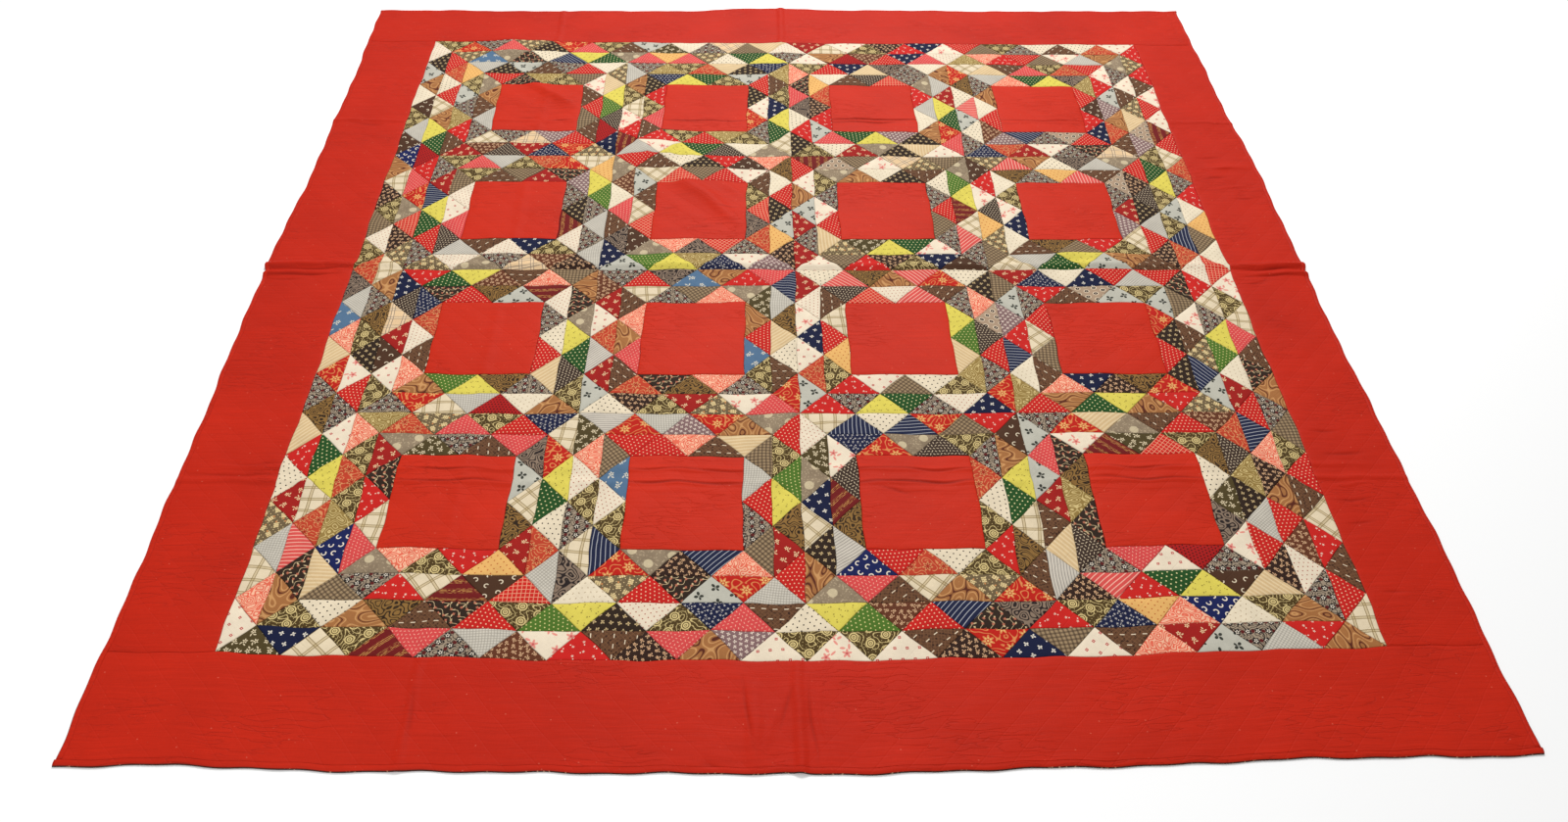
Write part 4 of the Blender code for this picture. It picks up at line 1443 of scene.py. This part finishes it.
@dataclass
class Patchwork:
    """The printed triangles: four rows of four blocks, each two rings deep, in a frame of two more."""

    seed: int = 23
    slot: str = "printed_cotton_patches"
    nodes: list[str] = field(default_factory=list)
    corners: list[np.ndarray] = field(default_factory=list)
    outward: list[bool] = field(default_factory=list)
    sides: list[tuple[int, int, bool]] = field(default_factory=list)

    def ring(self, left: float, far: float, side: int, paired: bool) -> None:
        """Adds one mitred ring of triangles, side by side round a square.

        Args:
            left: The ring's left edge, in steps.
            far: Its far edge.
            side: Its outer side, in steps.
            paired: Whether its sides carry the yellow and green pairs.
        """
        turns = (
            lambda s, d: (left + s, far + d),
            lambda s, d: (left + side - d, far + s),
            lambda s, d: (left + side - s, far + side - d),
            lambda s, d: (left + d, far + side - s),
        )
        for turn in turns:
            first = len(self.corners)
            for k in range(side - 1):
                out = k % 2 == 0
                base, tip = (0, 1) if out else (1, 0)
                points = [turn(k, base), turn(k + 2, base), turn(k + 1, tip)]
                if out:
                    points = [points[1], points[0], points[2]]
                self.corners.append(np.array(points, float))
                self.outward.append(out)
            self.sides.append((first, side - 1, paired))

    def lay_out(self) -> None:
        """Adds every ring of the quilt, the frame first."""
        self.ring(0, 0, FIELD, False)
        self.ring(1, 1, FIELD - 2, True)
        for row in range(BLOCKS):
            for column in range(BLOCKS):
                left, far = FRAME + column * BLOCK, FRAME + row * BLOCK
                self.ring(left, far, BLOCK, True)
                self.ring(left + 1, far + 1, BLOCK - 2, False)
        self.nodes = sorted(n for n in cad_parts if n.startswith(("block_", "frame_")))

    def choose(self, draws: np.random.Generator) -> np.ndarray:
        """Picks a cotton for each patch, as from a scrap bag.

        Most sides of the outer rings have a yellow patch beside a green one. The rest are picked in
        a random order. Patches that point in are brighter and those that point out paler, and a
        cotton that is near already, or is like one that is, is picked less often.

        Args:
            draws: The source of the draws.

        Returns:
            The number of each patch's cotton.
        """
        shares = np.array([cotton.share for cotton in COTTONS])
        tone = {
            True: {Tone.LIGHT: 1.04, Tone.DARK: 1.0, Tone.BRIGHT: 0.84},
            False: {Tone.LIGHT: 0.66, Tone.DARK: 1.0, Tone.BRIGHT: 1.55},
        }
        weights = {out: shares * [tone[out][c.tone] for c in COTTONS] for out in tone}
        picked = np.full(len(self.corners), -1)
        middles = np.array([corners.mean(axis=0) for corners in self.corners])
        for first, count, paired in self.sides:
            for _ in range(max(1, count // 9)):
                if draws.random() < (0.66 if paired else 0.10):
                    at = first + int(draws.integers(1, count - 2))
                    green = GREEN if draws.random() < 0.75 else LEAF_GREEN
                    pair = (YELLOW, green) if draws.random() < 0.5 else (green, YELLOW)
                    apart = np.hypot(*(middles[picked >= 0] - middles[at]).T)
                    if not (apart < 3.2).any():
                        picked[at : at + 2] = pair
        tones = np.array([list(Tone).index(cotton.tone) for cotton in COTTONS])
        bundles = np.array([cotton.bundle for cotton in COTTONS])
        for k in draws.permutation(len(picked)):
            if picked[k] >= 0:
                continue
            chances = weights[self.outward[k]].copy()
            away = np.hypot(*(middles - middles[k]).T)
            for other in np.flatnonzero((away < 2.6) & (picked >= 0)):
                near = away[other] < 1.15
                chances[picked[other]] *= 0.04 if near else 0.45
                chances[bundles == bundles[picked[other]]] *= 0.45 if near else 0.95
                chances[tones == tones[picked[other]]] *= 0.50 if near else 1.0
            picked[k] = draws.choice(len(COTTONS), p=chances / chances.sum())
        return picked

    def build(self, back: bpy.types.Material) -> None:
        """Makes one piece for each bundle of cottons.

        Args:
            back: The underside's material.
        """
        self.lay_out()
        draws = np.random.default_rng(self.seed)
        picked = self.choose(draws)
        corners = np.array(self.corners)
        on_fold = folded(corners)
        turns = draws.integers(0, 8, len(corners)) * (math.pi / 4) + draws.normal(0, 0.07, len(corners))
        grain = np.stack([turns, *draws.uniform(1.0, 5.0, (2, len(corners)))], 1)
        for bundle in sorted({cotton.bundle for cotton in COTTONS}):
            members = [k for k, cotton in enumerate(COTTONS) if cotton.bundle == bundle]
            chosen = np.isin(picked, members)
            parts = []
            for shape, mask in ((FLAT_PATCH, chosen & ~on_fold), (FOLDED_PATCH, chosen & on_fold)):
                if mask.any():
                    finish = np.searchsorted(members, picked[mask])
                    parts.append(shape.mesh("", corners[mask], grain[mask], finish))
            prints = [PrintedFinish(COTTONS[k]).make() for k in members]
            made = joined(f"patches_{bundle}", parts).put([back, *prints])
            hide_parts(*self.nodes)


@dataclass
class Squares:
    """The plain red square in the middle of each block."""

    slot: str = "plain_red_cotton"
    finish: RedFinish = RedFinish("red_square_cotton", (196, 37, 12), (205, 44, 18), 0.60)

    def build(self, back: bpy.types.Material) -> None:
        """Makes the sixteen squares as one piece.

        Args:
            back: The underside's material.
        """
        parts = []
        for row in range(BLOCKS):
            for column in range(BLOCKS):
                left, far = FRAME + column * BLOCK + 2, FRAME + row * BLOCK + 2
                us = grid_lines(left, left + SQUARE, 0.16)
                fine = {0: [(far + 2.7, far + 3.6)], 3: [(far + 0.4, far + 1.8)]}.get(row, [])
                vs = grid_lines(far, far + SQUARE, 0.10, fine)
                parts.append(sheet_of("", us, vs, 0.37 * (row * BLOCKS + column)))
        made = joined("red_squares", parts).put([self.finish.make(), back])
        nodes = [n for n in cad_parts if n.startswith("square_")]
        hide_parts(*sorted(nodes))


@dataclass
class Borders:
    """The four strips of the plain red border, the far and near ones across the whole width."""

    slot: str = "plain_red_cotton"
    finish: RedFinish = RedFinish("red_border_cotton", (187, 32, 10), (198, 39, 16), 0.58, 0.10)

    def build(self, back: bpy.types.Material) -> None:
        """Makes the four strips.

        Args:
            back: The underside's material.
        """
        material = self.finish.make()
        whole = grid_lines(-BORDER, FIELD + BORDER, 0.20, [(15.0, 19.5), (5.8, 6.8)])
        folds = [(6.6, 7.8), (9.6, 13.8), (17.0, 18.8), (26.6, 31.6), (33.6, 34.4)]
        length = grid_lines(0.0, FIELD, 0.20, folds)
        far = grid_lines(-BORDER, 0.0, 0.14)
        near = grid_lines(FIELD, FIELD + BORDER, 0.14)
        left = grid_lines(-BORDER, 0.0, 0.16)
        right = grid_lines(FIELD, FIELD + BORDER, 0.16)
        strips = {
            "border_far": (whole, far),
            "border_near": (whole, near),
            "border_left": (left, length),
            "border_right": (right, length),
        }
        for index, (name, (us, vs)) in enumerate(strips.items()):
            made = sheet_of(f"{name}_cloth", us, vs, 1.7 * index).put([material, back])
            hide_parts(name)
            flat = ((us[-1] - us[0]) * STEP, (vs[-1] - vs[0]) * STEP)


@dataclass
class Binding:
    """The narrow folded strip round the quilt's edge."""

    slot: str = "red_binding_cotton"
    rise: float = 0.0005
    # The lip colour is the brown backing at the near edge, darkened as a painted contact shadow
    finish: RedFinish = RedFinish(
        "red_binding_cotton", (187, 32, 10), (198, 39, 16), 0.58, 0.02, lip=(62, 38, 28)
    )

    def strip(
        self,
        start: tuple[float, float],
        end: tuple[float, float],
        out: tuple[int, int],
        ditch: float,
    ) -> Cloth:
        """One side of the binding, as a closed tube with a rounded outer edge.

        The profile's height is that of the face past the stitching, and falls by a quarter circle
        to the floor at the outer edge.

        Args:
            start: The inner edge's first point, in steps.
            end: Its last point.
            out: The way out of the quilt.
            ditch: How much of the height the stitching takes away at the inner edge.

        Returns:
            The mesh.
        """
        along = np.linspace(0, 1, 420)[:, None]
        share = np.array([0.02, 0.08, 0.18, 0.35, 0.55, 0.75, 0.9, 0.98, 1.0, 0.8, 0.4, 0.02])
        depth = share[None] * BINDING
        u = start[0] + (end[0] - start[0]) * along + out[0] * depth
        v = start[1] + (end[1] - start[1]) * along + out[1] * depth
        x, y = LIE.ground(u, v)
        lift = LIE.lift(u, v)
        full = LIE.face(u, v, np.full_like(u, 0.004)) - lift + self.rise
        round_off = np.sqrt(np.clip(1 - ((share - 0.45).clip(0) / 0.55) ** 2, 0, 1))
        stitched = 1 - ditch * np.exp(-((share / 0.16) ** 2))
        gathers = np.sin(along * 610) * np.sin(along * 143 + 1.0)
        pucker = 1 + 0.05 * gathers * np.exp(-(((share - 0.3) / 0.3) ** 2))
        height = full * np.maximum(round_off * stitched, 0.25) * pucker
        above = np.arange(len(share)) < 9
        z = lift + np.where(above, height, 0.0)
        rows, columns = u.shape
        at = np.arange(rows * columns).reshape(rows, columns)
        ahead = np.roll(at, -1, axis=1)
        faces = np.stack([at[:-1], ahead[:-1], ahead[1:], at[1:]], -1).reshape(-1, 4)
        caps = np.stack([at[0][::-1], at[-1]])
        across = np.broadcast_to(share, u.shape)
        prints = np.stack([u * STEP, v * STEP, across], -1).reshape(-1, 3)
        seam = np.broadcast_to(share * BINDING * STEP, u.shape)
        places = np.stack([u, v, seam], -1).reshape(-1, 3)
        points = np.stack([x, y, z], -1).reshape(-1, 3)
        return Cloth("", points, prints, places, [faces, caps], [np.zeros(len(faces)), np.zeros(2)])

    def build(self) -> None:
        """Makes the binding as one piece that stands for its four strips."""
        low, high, inner = -EDGE, FIELD + EDGE, FIELD + BORDER
        parts = [
            self.strip((high, -BORDER), (low, -BORDER), (0, -1), 0.0),
            self.strip((low, inner), (high, inner), (0, 1), 0.0),
            self.strip((-BORDER, -BORDER), (-BORDER, inner), (-1, 0), 0.0),
            self.strip((inner, inner), (inner, -BORDER), (1, 0), 0.45),
        ]
        made = joined("binding_cloth", parts).put([self.finish.make()])
        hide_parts("binding_far", "binding_near", "binding_left", "binding_right")


@dataclass
class Studio:
    """The floor, the light and the camera."""

    place: tuple[float, float, float] = (-0.0642, -1.8670, 1.5794)
    target: tuple[float, float, float] = (-0.0193, -0.3838, 0.0)
    roll: float = 1.18
    lens: float = 27.24
    floor_colour: tuple[float, float, float] = (0.97, 0.97, 0.965)

    def camera(self) -> None:
        """Sets the camera where the photograph was taken from."""
        data = bpy.data.cameras.new("camera")
        data.sensor_width, data.lens = 36.0, self.lens
        made = bpy.data.objects.new("camera", data)
        look = Vector(self.target) - Vector(self.place)
        made.rotation_mode = "QUATERNION"
        turn = Quaternion((0, 0, 1), math.radians(self.roll))
        made.rotation_quaternion = look.to_track_quat("-Z", "Y") @ turn
        made.location = self.place
        bpy.context.scene.collection.objects.link(made)
        bpy.context.scene.camera = made

    def floor(self) -> None:
        """A plain pale floor."""
        half = 9.0
        mesh = bpy.data.meshes.new("floor")
        z = -0.0004
        mesh.from_pydata(
            [(-half, -half, z), (half, -half, z), (half, half, z), (-half, half, z)], [], [(0, 1, 2, 3)]
        )
        material, _, shader = new_material("floor")
        shader.inputs["Base Color"].default_value = (*self.floor_colour, 1.0)
        shader.inputs["Roughness"].default_value = 0.6
        mesh.materials.append(material)
        made = bpy.data.objects.new("floor", mesh)
        bpy.context.scene.collection.objects.link(made)
        made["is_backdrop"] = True

    def light(self, name: str, place: tuple[float, float, float], size: float, power: float) -> None:
        """A square soft light that faces the quilt's middle.

        Args:
            name: The light's name.
            place: Where it hangs, in metres.
            size: Its side, in metres.
            power: Its power, in watts.
        """
        data = bpy.data.lights.new(name, "AREA")
        data.size, data.energy = size, power * STUDIO_LIGHT
        made = bpy.data.objects.new(name, data)
        made.location = place
        made.rotation_mode = "QUATERNION"
        made.rotation_quaternion = (-Vector(place)).to_track_quat("-Z", "Y")
        bpy.context.scene.collection.objects.link(made)

    def build(self) -> None:
        """Makes the stage, its lights and the camera."""
        self.camera()
        self.floor()
        world = bpy.data.worlds.new("world")
        world.use_nodes = True
        world.node_tree.nodes["Background"].inputs[0].default_value = (1.0, 1.0, 1.0, 1.0)
        world.node_tree.nodes["Background"].inputs[1].default_value = 0.37 * STUDIO_LIGHT
        bpy.context.scene.world = world
        # The plain transform keeps the reds as saturated as the cloth is
        bpy.context.scene.view_settings.view_transform = "Standard"
        self.light("softbox_far", (0.3, 3.4, 3.8), 1.4, 196.0)
        self.light("softbox_near", (-1.4, -2.4, 3.2), 1.6, 42.0)


def main() -> None:
    """Builds the stage and the quilt, piece by piece."""
    logging.basicConfig(level=logging.INFO, format="%(message)s")
    Studio().build()
    back = BackFinish().make()
    Patchwork().build(back)
    Squares().build(back)
    Borders().build(back)
    Binding().build()
    boxes = {"cad": CAD_BOX, "visual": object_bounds()}
    for name, box in boxes.items():
        LOG.info("%s box %s", name, [[round(c, 4) for c in corner] for corner in box])


if __name__ == "__main__":
    main()
